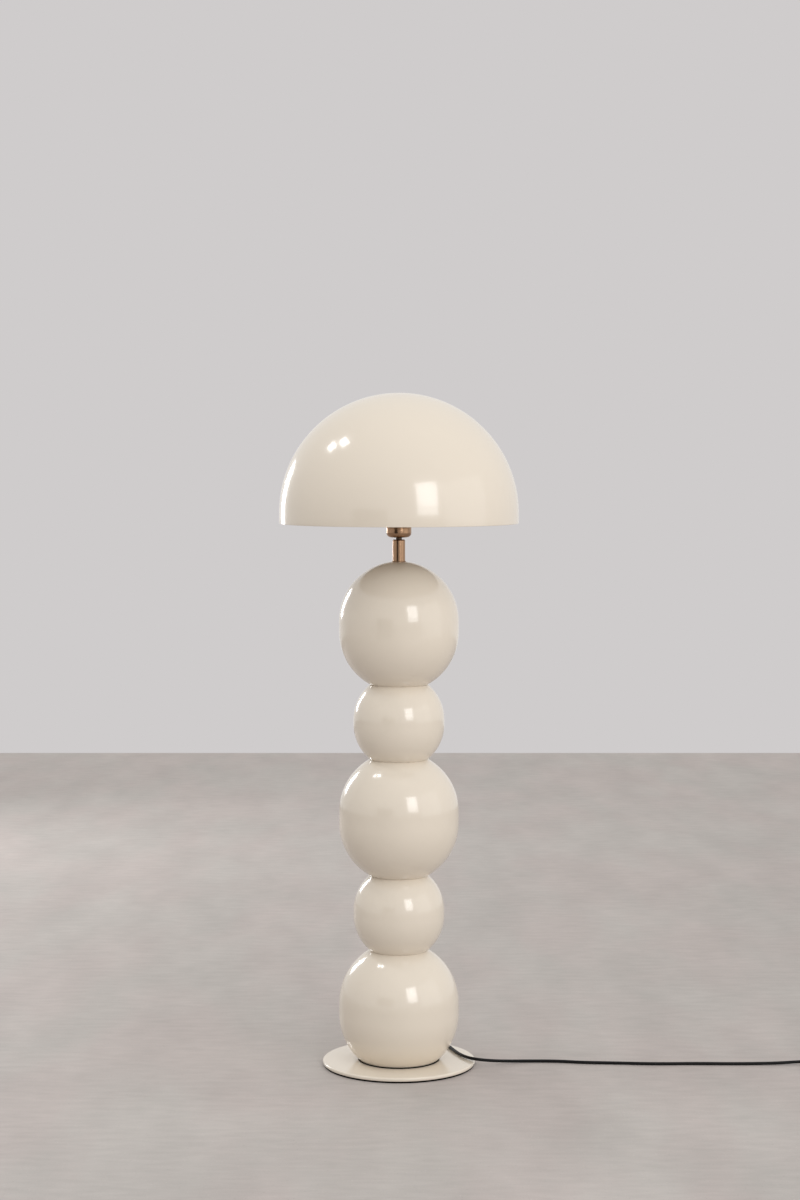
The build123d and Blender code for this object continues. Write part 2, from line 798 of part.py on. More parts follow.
with BuildPart() as switch_base:
    add(switch_block(0, switch_cord_z, 0))
    fillet(switch_base.edges().group_by(Axis.Z)[0], switch_edge_round / 2)
    add(switch_block(switch_wall, switch_cord_z, switch_wall), mode=Mode.SUBTRACT)
    add(switch_pegs(switch_wall / 2, switch_cord_z, screw_post_dia))
    # two ribs that carry the contact over the lead
    with BuildSketch(switch_plane.offset(switch_wall / 2)):
        with Locations(*rib_places):
            Rectangle(rib_length, rib_width)
    extrude(amount=rib_height - switch_wall / 2)
    screw_way = switch_pegs(0, switch_cord_z, screw_dia + 2 * switch_entry_clearance)
    head_way = switch_pegs(0, screw_head_thick, screw_head_dia + 2 * switch_entry_clearance)
    add(screw_way, mode=Mode.SUBTRACT)
    add(head_way, mode=Mode.SUBTRACT)
    add(cord_way(), mode=Mode.SUBTRACT)

with BuildPart() as switch_cover:
    add(switch_block(switch_cord_z, switch_height, 0))
    fillet(switch_cover.edges().group_by(Axis.Z)[-1], switch_edge_round)
    cover_inside = switch_block(switch_cord_z, switch_height - switch_wall, switch_wall)
    add(cover_inside, mode=Mode.SUBTRACT)
    add(switch_pegs(switch_cord_z, switch_height - switch_wall / 2, screw_post_dia))
    screw_hole = switch_pegs(switch_cord_z, screw_length, screw_dia + 2 * thread_clearance)
    add(screw_hole, mode=Mode.SUBTRACT)
    # collar round the rocker, with the holes for its trunnions
    opening_length = rocker_length + 2 * rocker_gap
    opening_width = rocker_width + 2 * rocker_gap
    with BuildSketch(switch_plane.offset(collar_bottom_z)):
        Rectangle(opening_length + 2 * collar_wall, opening_width + 2 * collar_wall)
    extrude(amount=switch_height - switch_wall / 2 - collar_bottom_z)
    with BuildSketch(switch_plane.offset(collar_bottom_z)):
        Rectangle(opening_length, opening_width)
    extrude(amount=switch_height, mode=Mode.SUBTRACT)
    with BuildSketch(Plane(origin=(switch_x, switch_y, rocker_pivot_z), z_dir=(0, 1, 0))):
        Circle(trunnion_dia / 2 + trunnion_clearance)
    extrude(amount=opening_width / 2 + collar_wall, both=True, mode=Mode.SUBTRACT)
    add(cord_way(), mode=Mode.SUBTRACT)

with BuildPart() as switch_rocker:
    # it rests tipped to the right
    rocker_plane = Plane(
        origin=(switch_x, switch_y, rocker_pivot_z),
        x_dir=(cos(radians(rocker_tilt)), 0, -sin(radians(rocker_tilt))),
        z_dir=(0, -1, 0),
    )
    rocker_radius = rocker_length / 2
    rocker_ear = rocker_rise + rocker_radius * tan(radians(rocker_tilt))
    with BuildSketch(rocker_plane):
        Circle(rocker_radius)
        with BuildLine():
            Polyline(
                (-rocker_radius, -rocker_depth),
                (rocker_radius, -rocker_depth),
                (rocker_radius, rocker_ear),
                (0, rocker_rise),
                (-rocker_radius, rocker_ear),
                (-rocker_radius, -rocker_depth),
            )
        make_face(mode=Mode.INTERSECT)
    extrude(amount=rocker_width / 2, both=True)
    with BuildSketch(rocker_plane):
        Circle(trunnion_dia / 2)
    extrude(amount=rocker_width / 2 + trunnion_length, both=True)

with BuildPart() as switch_screws:
    add(switch_pegs(0, screw_head_thick, screw_head_dia))
    add(switch_pegs(0, screw_length, screw_dia))

with BuildPart() as switch_contact:
    with BuildSketch(switch_plane.offset(rib_height)):
        Rectangle(rib_length, 2 * rib_offset + rib_width)
    extrude(amount=bridge_thick)

# ---------------------------------------------------------------------------------------------
# Plug
# ---------------------------------------------------------------------------------------------

cord_tail = make_tube("cord_tail", TAIL_ROUTE)

plug_face_x = plug_tail_x - plug_tail_length - plug_length
plug_rear_x = plug_tail_x - plug_tail_length
pin_places = [(-pin_pitch / 2, 0), (pin_pitch / 2, 0)]


def plug_plane(x):
    """A plane across the plug at x, facing the pins' way. Its own x runs along the plug's width."""
    return Plane(origin=(x, plug_y, plug_axis_z), x_dir=(0, -1, 0), z_dir=(-1, 0, 0))


with BuildPart() as plug_body:
    with BuildSketch(plug_plane(plug_rear_x)):
        RectangleRounded(plug_rear_width, plug_rear_thick, plug_rear_thick * 0.42)
    with BuildSketch(plug_plane(plug_face_x)):
        RectangleRounded(plug_face_width, plug_thick, plug_rear_thick * 0.42)
    loft()
    fillet(plug_body.edges().group_by(Axis.X)[0], plug_round)
    # tapered tail that keeps the lead from kinking
    with BuildSketch(plug_plane(plug_rear_x + plug_tail_length)):
        Circle(plug_tail_tip_dia / 2)
    with BuildSketch(plug_plane(plug_rear_x)):
        Circle(plug_tail_root_dia / 2)
    loft()
    # the lead is moulded in
    with BuildSketch(plug_plane(plug_tail_x)):
        Circle(cord_radius)
    extrude(amount=plug_tail_length, mode=Mode.SUBTRACT)
    with BuildSketch(plug_plane(plug_face_x)):
        with Locations(*pin_places):
            Circle(pin_sleeve_dia / 2)
    extrude(amount=-pin_root, mode=Mode.SUBTRACT)

with BuildPart() as plug_pins:
    with BuildSketch(plug_plane(plug_face_x + pin_root)):
        with Locations(*pin_places):
            Circle(pin_core_dia / 2)
    extrude(amount=pin_root + pin_length)
    with BuildSketch(plug_plane(plug_face_x - pin_sleeve_length)):
        with Locations(*pin_places):
            Circle(pin_dia / 2)
    extrude(amount=pin_length - pin_sleeve_length)

with BuildPart() as plug_pin_sleeves:
    with BuildSketch(plug_plane(plug_face_x + pin_root)):
        with Locations(*pin_places):
            Circle(pin_sleeve_dia / 2)
            Circle(pin_core_dia / 2, mode=Mode.SUBTRACT)
    extrude(amount=pin_root + pin_sleeve_length)

# ---------------------------------------------------------------------------------------------
# Names and files
# ---------------------------------------------------------------------------------------------

NODES = {
    "floor_pad": floor_pad,
    "base_plate": base_plate,
    "base_washer": base_washer,
    "base_nut": base_nut,
    **balls,
    "centre_tube": centre_tube,
    "top_washer": top_washer,
    "top_nut": top_nut,
    "stem_washer": stem_washer,
    "stem": stem,
    "lampholder_cup": lampholder_cup,
    "lampholder_skirt": lampholder_skirt,
    "lampholder_insulator": lampholder_insulator,
    "terminal_screws": terminal_screws,
    "screw_shell": screw_shell,
    "centre_contact": centre_contact,
    "shade": shade,
    "shade_fitter": shade_fitter,
    "shade_ring": shade_ring,
    "bulb_globe": bulb_globe,
    "bulb_cap": bulb_cap,
    "bulb_cap_insulator": bulb_cap_insulator,
    "cord_grommet": cord_grommet,
    "inner_lead": inner_lead,
    "cord": cord,
    "cord_coil": cord_coil,
    "cord_tie": cord_tie,
    "cord_tail": cord_tail,
    "switch_base": switch_base,
    "switch_cover": switch_cover,
    "switch_rocker": switch_rocker,
    "switch_screws": switch_screws,
    "switch_contact": switch_contact,
    "plug_body": plug_body,
    "plug_pins": plug_pins,
    "plug_pin_sleeves": plug_pin_sleeves,
}

os.makedirs("parts", exist_ok=True)
for node_name, node in NODES.items():
    node.part.label = node_name
    export_step(node.part, f"parts/{node_name}.step")
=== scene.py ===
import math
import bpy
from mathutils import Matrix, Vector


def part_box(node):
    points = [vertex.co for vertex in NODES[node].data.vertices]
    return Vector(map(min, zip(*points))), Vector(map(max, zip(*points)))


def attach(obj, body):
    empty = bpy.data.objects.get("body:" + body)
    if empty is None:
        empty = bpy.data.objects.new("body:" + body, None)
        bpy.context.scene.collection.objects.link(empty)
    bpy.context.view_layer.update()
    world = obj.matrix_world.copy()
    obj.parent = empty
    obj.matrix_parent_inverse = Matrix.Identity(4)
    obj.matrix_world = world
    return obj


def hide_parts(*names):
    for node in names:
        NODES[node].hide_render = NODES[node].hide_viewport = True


bl_info = {
    "name": "Stacked ball floor lamp",
    "version": (1, 0, 0),
    "blender": (4, 5, 0),
    "location": "3D View > Sidebar > Floor Lamp",
    "description": "Builds a floor lamp of stacked enamelled balls with a dome shade, and its room",
    "category": "Add Mesh",
}

import bmesh
import bpy
from mathutils import Matrix, Vector

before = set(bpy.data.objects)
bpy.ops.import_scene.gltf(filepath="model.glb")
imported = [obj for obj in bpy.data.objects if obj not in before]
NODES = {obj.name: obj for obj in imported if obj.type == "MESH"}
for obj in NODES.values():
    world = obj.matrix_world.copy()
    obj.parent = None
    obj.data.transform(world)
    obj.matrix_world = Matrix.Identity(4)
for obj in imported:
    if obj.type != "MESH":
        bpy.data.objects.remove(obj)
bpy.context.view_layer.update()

MM = 0.001


def foot_of(node):
    """Lowest height of a CAD node."""
    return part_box(node)[0].z


def top_of(node):
    """Highest height of a CAD node."""
    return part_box(node)[1].z


def radius_of(node):
    """Largest radius of a CAD node that is turned about the lamp's axis."""
    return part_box(node)[1].x


# ------------------------------------------------------------------------------------------
# Sizes and colours that a user may change
# ------------------------------------------------------------------------------------------


class LampSizes(bpy.types.PropertyGroup):
    large_skirt: bpy.props.FloatProperty(
        name="Large ball skirt",
        description="Height of the straight band round a large ball",
        default=18 * MM,
        unit="LENGTH",
    )
    small_skirt: bpy.props.FloatProperty(
        name="Small ball skirt",
        description="Height of the straight band round a small ball",
        default=7 * MM,
        unit="LENGTH",
    )
    neck_radius: bpy.props.FloatProperty(
        name="Neck radius",
        description="Radius at which two balls meet",
        default=48 * MM,
        unit="LENGTH",
    )
    foot_radius: bpy.props.FloatProperty(
        name="Foot radius",
        description="Radius at which the bottom ball stands on the disc",
        default=65 * MM,
        unit="LENGTH",
    )
    crown_radius: bpy.props.FloatProperty(
        name="Crown radius",
        description="Radius of the flat on the top ball that carries the stem",
        default=13 * MM,
        unit="LENGTH",
    )
    sheet_wall: bpy.props.FloatProperty(
        name="Sheet thickness",
        description="Thickness of the steel sheet of the balls and the shade",
        default=1.2 * MM,
        unit="LENGTH",
    )
    shade_skirt: bpy.props.FloatProperty(
        name="Shade skirt",
        description="Height of the straight band at the shade's rim",
        default=18 * MM,
        unit="LENGTH",
    )
    disc_round: bpy.props.FloatProperty(
        name="Disc edge radius",
        description="Rounding of the disc's edge",
        default=2.4 * MM,
        unit="LENGTH",
    )
    lead_diameter: bpy.props.FloatProperty(
        name="Lead diameter",
        description="Outer diameter of the mains lead",
        default=5 * MM,
        unit="LENGTH",
    )


def swatch(name, description, hex_text):
    """A colour setting from an sRGB hex value."""
    return bpy.props.FloatVectorProperty(
        name=name, description=description, default=linear(hex_text), subtype="COLOR", size=3
    )


def linear(hex_text):
    """sRGB hex to the linear colour that a shader takes."""
    values = [int(hex_text[i : i + 2], 16) / 255 for i in (0, 2, 4)]
    return [v / 12.92 if v <= 0.04045 else ((v + 0.055) / 1.055) ** 2.4 for v in values]


class LampColours(bpy.types.PropertyGroup):
    enamel: swatch("Enamel", "Cream enamel of the balls, the disc and the shade", "E2D8C9")
    brass: swatch("Brass", "Brushed brass of the stem and the cup", "A5856A")
    lead: swatch("Lead", "Black sheath of the mains lead", "0D0D0E")
    floor: swatch("Floor", "Pale floor", "B3AEAA")
    wall: swatch("Wall", "Pale wall behind the lamp", "CFCCCC")


# ------------------------------------------------------------------------------------------
# Small tools
# ------------------------------------------------------------------------------------------


def add_node(tree, kind, inputs=None, **settings):
    """Adds a node with its settings, and links or sets its inputs."""
    node = tree.nodes.new(kind)
    for key, value in settings.items():
        setattr(node, key, value)
    for key, value in (inputs or {}).items():
        if isinstance(value, bpy.types.NodeSocket):
            tree.links.new(value, node.inputs[key])
        else:
            node.inputs[key].default_value = value
    return node


def new_material(name):
    """An empty node material and its output."""
    material = bpy.data.materials.new(name)
    material.use_nodes = True
    material.node_tree.nodes.clear()
    output = material.node_tree.nodes.new("ShaderNodeOutputMaterial")
    return material, material.node_tree, output


def colours():
    """The colour settings of the scene."""
    return bpy.context.scene.lamp_colours


def sizes():
    """The size settings of the scene."""
    return bpy.context.scene.lamp_sizes


def rgba(colour, gain=1.0):
    """A linear colour, brighter or darker by a gain, with full alpha."""
    return (*[channel * gain for channel in colour], 1.0)


def finish_mesh(mesh, name, material, body, sharp=35.0):
    """A plain mesh becomes a smooth piece with its material, riding on a body."""
    mesh.shade_smooth()
    mesh.set_sharp_from_angle(angle=math.radians(sharp))
    piece = bpy.data.objects.new(name, mesh)
    bpy.context.scene.collection.objects.link(piece)
    piece.data.materials.clear()
    piece.data.materials.append(material)
    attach(piece, body)
    return piece


def arc(centre, radius, start, end, steps):
    """Points of an arc in a half section, from one angle to another in degrees."""
    points = []
    for step in range(steps + 1):
        angle = math.radians(start + (end - start) * step / steps)
        points.append((centre[0] + radius * math.cos(angle), centre[1] + radius * math.sin(angle)))
    return points


def turned_mesh(name, outline, segments=128, place=None):
    """A mesh turned about Z from a closed half section of (radius, height) points."""
    shell = bmesh.new()
    rows = []
    for radius, height in outline:
        row = []
        for step in range(segments):
            angle = 2 * math.pi * step / segments
            row.append(shell.verts.new((radius * math.cos(angle), radius * math.sin(angle), height)))
        rows.append(row)
    for row, following in zip(rows, rows[1:] + rows[:1]):
        for step in range(segments):
            after = (step + 1) % segments
            shell.faces.new((row[step], row[after], following[after], following[step]))
    bmesh.ops.remove_doubles(shell, verts=shell.verts, dist=1e-6)
    bmesh.ops.dissolve_degenerate(shell, edges=shell.edges, dist=1e-7)
    bmesh.ops.recalc_face_normals(shell, faces=shell.faces)
    mesh = bpy.data.meshes.new(name)
    shell.to_mesh(mesh)
    shell.free()
    if place is not None:
        mesh.transform(place)
    return mesh


def smoothed_copy(node, name, material, body, sharp=30.0):
    """A merged copy of a CAD node with smooth faces, which stands for it."""
    mesh = NODES[node].data.copy()
    mesh.name = name
    copy = bmesh.new()
    copy.from_mesh(mesh)
    bmesh.ops.remove_doubles(copy, verts=copy.verts, dist=2e-6)
    bmesh.ops.dissolve_degenerate(copy, edges=copy.edges, dist=1e-6)
    copy.to_mesh(mesh)
    copy.free()
    if mesh.has_custom_normals:
        mesh.attributes.remove(mesh.attributes["custom_normal"])
    piece = finish_mesh(mesh, name, material, body, sharp)
    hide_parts(node)
    return piece


def dress(node, material):
    """Gives a CAD node its material."""
    mesh = NODES[node].data
    mesh.materials.clear()
    mesh.materials.append(material)


# ------------------------------------------------------------------------------------------
# Materials
# ------------------------------------------------------------------------------------------


def stoved_enamel():
    """Sprayed and stoved enamel on steel: warm cream, an even clear gloss and a faint orange peel."""
    material, tree, output = new_material("Stoved enamel")
    place = add_node(tree, "ShaderNodeTexCoord").outputs["Object"]
    # cloudy change of tone over about 120 mm, as the spray leaves it
    cloud = add_node(tree, "ShaderNodeTexNoise", {"Vector": place, "Scale": 8.0, "Detail": 2.0})
    tone = add_node(
        tree,
        "ShaderNodeMix",
        {
            "Factor": cloud.outputs["Fac"],
            "A": rgba(colours().enamel, 0.985),
            "B": rgba(colours().enamel, 1.015),
        },
        data_type="RGBA",
    )
    # orange peel, really about 1.5 mm across and drawn at 3 mm so that it shows
    peel = add_node(tree, "ShaderNodeTexNoise", {"Vector": place, "Scale": 330.0, "Detail": 1.0})
    bump = add_node(
        tree,
        "ShaderNodeBump",
        {"Height": peel.outputs["Fac"], "Strength": 0.12, "Distance": 0.00004},
    )
    # the gloss is a little softer in places
    haze = add_node(
        tree,
        "ShaderNodeMapRange",
        {"Value": cloud.outputs["Fac"], "To Min": 0.13, "To Max": 0.19},
    )
    shader = add_node(
        tree,
        "ShaderNodeBsdfPrincipled",
        {
            "Base Color": tone.outputs["Result"],
            "Roughness": haze.outputs["Result"],
            "IOR": 1.5,
            "Coat Weight": 0.35,
            "Coat Roughness": 0.04,
            "Normal": bump.outputs["Normal"],
        },
    )
    tree.links.new(shader.outputs["BSDF"], output.inputs["Surface"])
    return material


def brushed_brass():
    """Brass brushed on the lathe and lacquered: fine rings draw reflections out along the piece."""
    material, tree, output = new_material("Brushed brass")
    place = add_node(tree, "ShaderNodeTexCoord").outputs["Object"]
    # brush lines, really about 0.1 mm apart and drawn at 0.4 mm so that they show
    stretch = add_node(
        tree, "ShaderNodeMapping", {"Vector": place, "Scale": (12.0, 12.0, 2500.0)}
    ).outputs["Vector"]
    lines = add_node(tree, "ShaderNodeTexNoise", {"Vector": stretch, "Scale": 1.0, "Detail": 3.0})
    cloud = add_node(tree, "ShaderNodeTexNoise", {"Vector": place, "Scale": 45.0, "Detail": 2.0})
    tone = add_node(
        tree,
        "ShaderNodeMix",
        {
            "Factor": cloud.outputs["Fac"],
            "A": rgba(colours().brass, 0.9),
            "B": rgba(colours().brass, 1.08),
        },
        data_type="RGBA",
    )
    haze = add_node(
        tree,
        "ShaderNodeMapRange",
        {"Value": lines.outputs["Fac"], "To Min": 0.16, "To Max": 0.26},
    )
    bump = add_node(
        tree,
        "ShaderNodeBump",
        {"Height": lines.outputs["Fac"], "Strength": 0.25, "Distance": 0.00003},
    )
    shader = add_node(
        tree,
        "ShaderNodeBsdfPrincipled",
        {
            "Base Color": tone.outputs["Result"],
            "Metallic": 1.0,
            "Roughness": haze.outputs["Result"],
            "Normal": bump.outputs["Normal"],
        },
    )
    tree.links.new(shader.outputs["BSDF"], output.inputs["Surface"])
    return material


def plain_metal(name, hex_text, low, high, grain):
    """A small drawn or plated metal piece: gloss and tone change over the grain's size in metres."""
    material, tree, output = new_material(name)
    place = add_node(tree, "ShaderNodeTexCoord").outputs["Object"]
    skin = add_node(
        tree, "ShaderNodeTexNoise", {"Vector": place, "Scale": 1 / grain, "Detail": 4.0}
    ).outputs["Fac"]
    metal = linear(hex_text)
    tone = add_node(
        tree,
        "ShaderNodeMix",
        {"Factor": skin, "A": rgba(metal, 0.85), "B": rgba(metal, 1.1)},
        data_type="RGBA",
    )
    haze = add_node(tree, "ShaderNodeMapRange", {"Value": skin, "To Min": low, "To Max": high})
    bump = add_node(
        tree, "ShaderNodeBump", {"Height": skin, "Strength": 0.1, "Distance": grain * 0.05}
    )
    shader = add_node(
        tree,
        "ShaderNodeBsdfPrincipled",
        {
            "Base Color": tone.outputs["Result"],
            "Metallic": 1.0,
            "Roughness": haze.outputs["Result"],
            "Normal": bump.outputs["Normal"],
        },
    )
    tree.links.new(shader.outputs["BSDF"], output.inputs["Surface"])
    return material


def moulded(name, colour, roughness, grain, depth, coat=0.0, shine=0.5):
    """A moulded, glazed or extruded piece: an even colour and a skin of the grain's size in metres."""
    material, tree, output = new_material(name)
    place = add_node(tree, "ShaderNodeTexCoord").outputs["Object"]
    skin = add_node(
        tree, "ShaderNodeTexNoise", {"Vector": place, "Scale": 1 / grain, "Detail": 3.0}
    ).outputs["Fac"]
    cloud = add_node(tree, "ShaderNodeTexNoise", {"Vector": place, "Scale": 30.0, "Detail": 1.0})
    tone = add_node(
        tree,
        "ShaderNodeMix",
        {"Factor": cloud.outputs["Fac"], "A": rgba(colour, 0.88), "B": rgba(colour, 1.12)},
        data_type="RGBA",
    )
    haze = add_node(
        tree,
        "ShaderNodeMapRange",
        {"Value": skin, "To Min": roughness * 0.85, "To Max": roughness * 1.15},
    )
    bump = add_node(tree, "ShaderNodeBump", {"Height": skin, "Strength": 0.3, "Distance": depth})
    shader = add_node(
        tree,
        "ShaderNodeBsdfPrincipled",
        {
            "Base Color": tone.outputs["Result"],
            "Roughness": haze.outputs["Result"],
            "IOR": 1.48,
            "Specular IOR Level": shine,
            "Coat Weight": coat,
            "Normal": bump.outputs["Normal"],
        },
    )
    tree.links.new(shader.outputs["BSDF"], output.inputs["Surface"])
    return material


def opal_glass():
    """Blown glass with a white inner coat: milky all through, with a clear gloss outside."""
    material, tree, output = new_material("Opal glass")
    place = add_node(tree, "ShaderNodeTexCoord").outputs["Object"]
    milk = add_node(tree, "ShaderNodeTexNoise", {"Vector": place, "Scale": 60.0, "Detail": 2.0})
    tone = add_node(
        tree,
        "ShaderNodeMix",
        {"Factor": milk.outputs["Fac"], "A": rgba(linear("ECEAE4")), "B": rgba(linear("F6F5F0"))},
        data_type="RGBA",
    )
    shader = add_node(
        tree,
        "ShaderNodeBsdfPrincipled",
        {
            "Base Color": tone.outputs["Result"],
            "Roughness": 0.22,
            "IOR": 1.5,
            "Subsurface Weight": 0.3,
            "Subsurface Scale": 0.004,
            "Coat Weight": 0.6,
            "Coat Roughness": 0.03,
        },
    )
    tree.links.new(shader.outputs["BSDF"], output.inputs["Surface"])
    return material


MATERIALS = {}


def materials():
    """All finishes of the lamp, made once."""
    if MATERIALS:
        return MATERIALS
    MATERIALS["enamel"] = stoved_enamel()
    MATERIALS["brass"] = brushed_brass()
    # key, name, colour, lowest and highest roughness, grain in metres
    for key, name, hex_text, low, high, grain in (
        # bright zinc with the grey bloom that plating leaves, in spangles about 1 mm across
        ("zinc", "Zinc-plated steel", "9D9C98", 0.28, 0.42, 0.001),
        # cut steel thread, painted dark brown as the shade in the narrow gap between the stem and the
        # cup
        ("thread", "Steel thread in painted shade", "544A40", 0.3, 0.5, 0.0007),
        # brass rolled thin and pressed: brighter than the lacquered brass
        ("contact", "Rolled contact brass", "C9A765", 0.2, 0.32, 0.0008),
        # nickel on brass, polished by use
        ("nickel", "Nickel-plated pins", "C6C2BA", 0.12, 0.2, 0.0006),
        # aluminium drawn into a thin cap
        ("cap", "Drawn aluminium", "C4C6C8", 0.25, 0.36, 0.0012),
    ):
        MATERIALS[key] = plain_metal(name, hex_text, low, high, grain)
    # key, name, linear colour, roughness, grain and its depth in metres, clear coat, shine
    for key, name, colour, roughness, grain, depth, coat, shine in (
        # extruded PVC: nearly black with a dull sheen
        ("sheath", "Extruded PVC sheath", colours().lead, 0.55, 0.0008, 0.00002, 0.0, 0.2),
        # thermoplastic from a spark-eroded mould: an even, fine leather-like grain
        ("moulding", "Spark-eroded moulding", linear("1D1D1E"), 0.5, 0.0007, 0.00005, 0.0, 0.5),
        # thermoset pressed in a polished mould, harder and glossier
        ("thermoset", "Pressed thermoset", linear("1A1817"), 0.28, 0.0009, 0.00001, 0.0, 0.5),
        # foam rubber cut from sheet, with open pores
        ("pad", "Foam rubber", linear("050505"), 0.95, 0.0011, 0.0003, 0.0, 0.05),
        # glazed steatite: white with a soft glaze
        ("ceramic", "Glazed steatite", linear("E8E4DA"), 0.25, 0.002, 0.00002, 0.5, 0.5),
        # black glass bead under the bulb's cap
        ("bead", "Black glass bead", linear("0E0D0F"), 0.1, 0.003, 0.00001, 0.6, 0.5),
    ):
        MATERIALS[key] = moulded(name, colour, roughness, grain, depth, coat, shine)
    MATERIALS["opal"] = opal_glass()
    return MATERIALS


# ------------------------------------------------------------------------------------------
# Room, lights and camera
# ------------------------------------------------------------------------------------------

CAMERA_SIDE = 0.0018
CAMERA_HEIGHT = 1.032
CAMERA_DISTANCE = 4.0
LENS = 71.85
HORIZON_SHIFT = -0.1287
CLIP_END = 60.0
FLOOR = ((-9, -12, 0), (9, -12, 0), (9, 4.04, 0), (-9, 4.04, 0))
DARK_CLOTH = ((-2.0, -2.2, 0.3), (-0.62, -3.3, 0.3), (-0.62, -3.3, 1.15), (-2.0, -2.2, 1.15))
AIR_STRENGTH = 0.9
MIDDLE = (0.0, 0.0, 0.6)
UPPER_MIDDLE = (0.0, 0.0, 0.8)

# name, place, target, width, height, power
LIGHTS = (
    ("window_right", (1.86, -3.65, 2.2), MIDDLE, 1.5, 1.7, 45.0),
    ("window_sill", (1.88, -3.69, 1.1), MIDDLE, 1.4, 0.42, 8.0),
    ("curtain_right", (3.2, -1.4, 1.4), MIDDLE, 3.0, 2.4, 12.0),
    ("spot_left_a", (-0.95, 0.0, 2.14), UPPER_MIDDLE, 0.26, 0.14, 1.6),
    ("spot_left_b", (-1.02, 0.15, 1.92), UPPER_MIDDLE, 0.2, 0.14, 1.2),
    ("window_back_left", (-1.76, 2.43, 1.15), MIDDLE, 0.45, 0.95, 16.0),
)


def screed_floor():
    """Trowelled cement, sealed matt: grey and pinkish patches, trowel marks and fine grit."""
    material, tree, output = new_material("Trowelled cement")
    place = add_node(tree, "ShaderNodeTexCoord").outputs["Object"]
    # all patches are longer towards the viewer, the way the floor was trowelled
    along = add_node(
        tree,
        "ShaderNodeMapping",
        {"Vector": place, "Location": (7.7, 3.3, 0.0), "Scale": (1.0, 0.35, 1.0)},
    ).outputs["Vector"]
    across = add_node(
        tree, "ShaderNodeMapping", {"Vector": place, "Scale": (0.3, 1.0, 1.0)}
    ).outputs["Vector"]

    # name, place, scale and detail of the noise, its range, and what that range becomes
    shares = {}
    for name, vector, scale, detail, low, high, least, most in (
        ("broad patches", along, 1.8, 2.0, 0.35, 0.65, 0.0, 1.0),
        ("pinkish patches", along, 5.0, 4.0, 0.4, 0.6, 0.0, 0.9),
        # about 110 mm wide and 300 mm long
        ("patches", along, 9.0, 8.0, 0.32, 0.68, 0.945, 1.055),
        # trowel marks about 55 mm wide and 17 mm long
        ("marks", across, 60.0, 4.0, 0.32, 0.68, 0.955, 1.045),
        # pale grit and dark pits about 3 mm across
        ("grit", place, 300.0, 2.0, 0.63, 0.74, 1.0, 1.16),
        ("pits", place, 260.0, 2.0, 0.27, 0.36, 0.86, 1.0),
    ):
        noise = add_node(
            tree, "ShaderNodeTexNoise", {"Vector": vector, "Scale": scale, "Detail": detail}
        )
        shares[name] = add_node(
            tree,
            "ShaderNodeMapRange",
            {
                "Value": noise.outputs["Fac"],
                "From Min": low,
                "From Max": high,
                "To Min": least,
                "To Max": most,
            },
        ).outputs["Result"]
    # painted light and shade: the floor is painted a little paler to the left and towards the back,
    # and a little darker to the right, as light falls on it
    axes = add_node(tree, "ShaderNodeSeparateXYZ", {0: place}).outputs
    for name, axis, near, far, start, end in (
        ("painted light side", "X", -1.6, 1.6, 1.02, 0.98),
        ("painted light back", "Y", 1.5, 4.0, 1.0, 1.09),
    ):
        shares[name] = add_node(
            tree,
            "ShaderNodeMapRange",
            {"Value": axes[axis], "From Min": near, "From Max": far, "To Min": start, "To Max": end},
        ).outputs["Result"]

    base = colours().floor
    broad = add_node(
        tree,
        "ShaderNodeMix",
        {"Factor": shares["broad patches"], "A": rgba(base, 0.97), "B": rgba(base, 1.04)},
        data_type="RGBA",
    )
    pink = [channel * gain for channel, gain in zip(base, (1.03, 0.985, 0.99))]
    tinted = add_node(
        tree,
        "ShaderNodeMix",
        {"Factor": shares["pinkish patches"], "A": broad.outputs["Result"], "B": rgba(pink)},
        data_type="RGBA",
    )
    level = shares["grit"]
    # grit, pits, patches and marks are the floor's own; the two side and back gradients are painted
    # light
    for name in ("pits", "patches", "marks", "painted light side", "painted light back"):
        level = add_node(
            tree, "ShaderNodeMath", {0: level, 1: shares[name]}, operation="MULTIPLY"
        ).outputs[0]
    grey = add_node(tree, "ShaderNodeCombineColor", {0: level, 1: level, 2: level})
    tone = add_node(
        tree,
        "ShaderNodeMix",
        {"Factor": 1.0, "A": tinted.outputs["Result"], "B": grey.outputs[0]},
        data_type="RGBA",
        blend_type="MULTIPLY",
    )
    skin = add_node(tree, "ShaderNodeTexNoise", {"Vector": place, "Scale": 160.0, "Detail": 3.0})
    bump = add_node(
        tree,
        "ShaderNodeBump",
        {"Height": skin.outputs["Fac"], "Strength": 0.15, "Distance": 0.0004},
    )
    shader = add_node(
        tree,
        "ShaderNodeBsdfPrincipled",
        {
            "Base Color": tone.outputs["Result"],
            "Roughness": 0.6,
            "Specular IOR Level": 0.25,
            "Normal": bump.outputs["Normal"],
        },
    )
    tree.links.new(shader.outputs["BSDF"], output.inputs["Surface"])
    return material


def soft_light(name, place, target, width, height, power):
    """A soft white box at a place, facing a target."""
    light = bpy.data.lights.new(name, "AREA")
    light.shape = "RECTANGLE"
    light.size, light.size_y = width, height
    light.energy = power
    lamp = bpy.data.objects.new(name, light)
    lamp.location = place
    way = Vector(target) - Vector(place)
    lamp.rotation_euler = way.to_track_quat("-Z", "Y").to_euler()
    lamp.visible_camera = False
    bpy.context.scene.collection.objects.link(lamp)


def flat_sheet(name, corners, material):
    """A flat sheet of the room with four corners."""
    mesh = bpy.data.meshes.new(name)
    mesh.from_pydata(corners, [], [(0, 1, 2, 3)])
    sheet = bpy.data.objects.new(name, mesh)
    bpy.context.scene.collection.objects.link(sheet)
    sheet.data.materials.append(material)
    return sheet


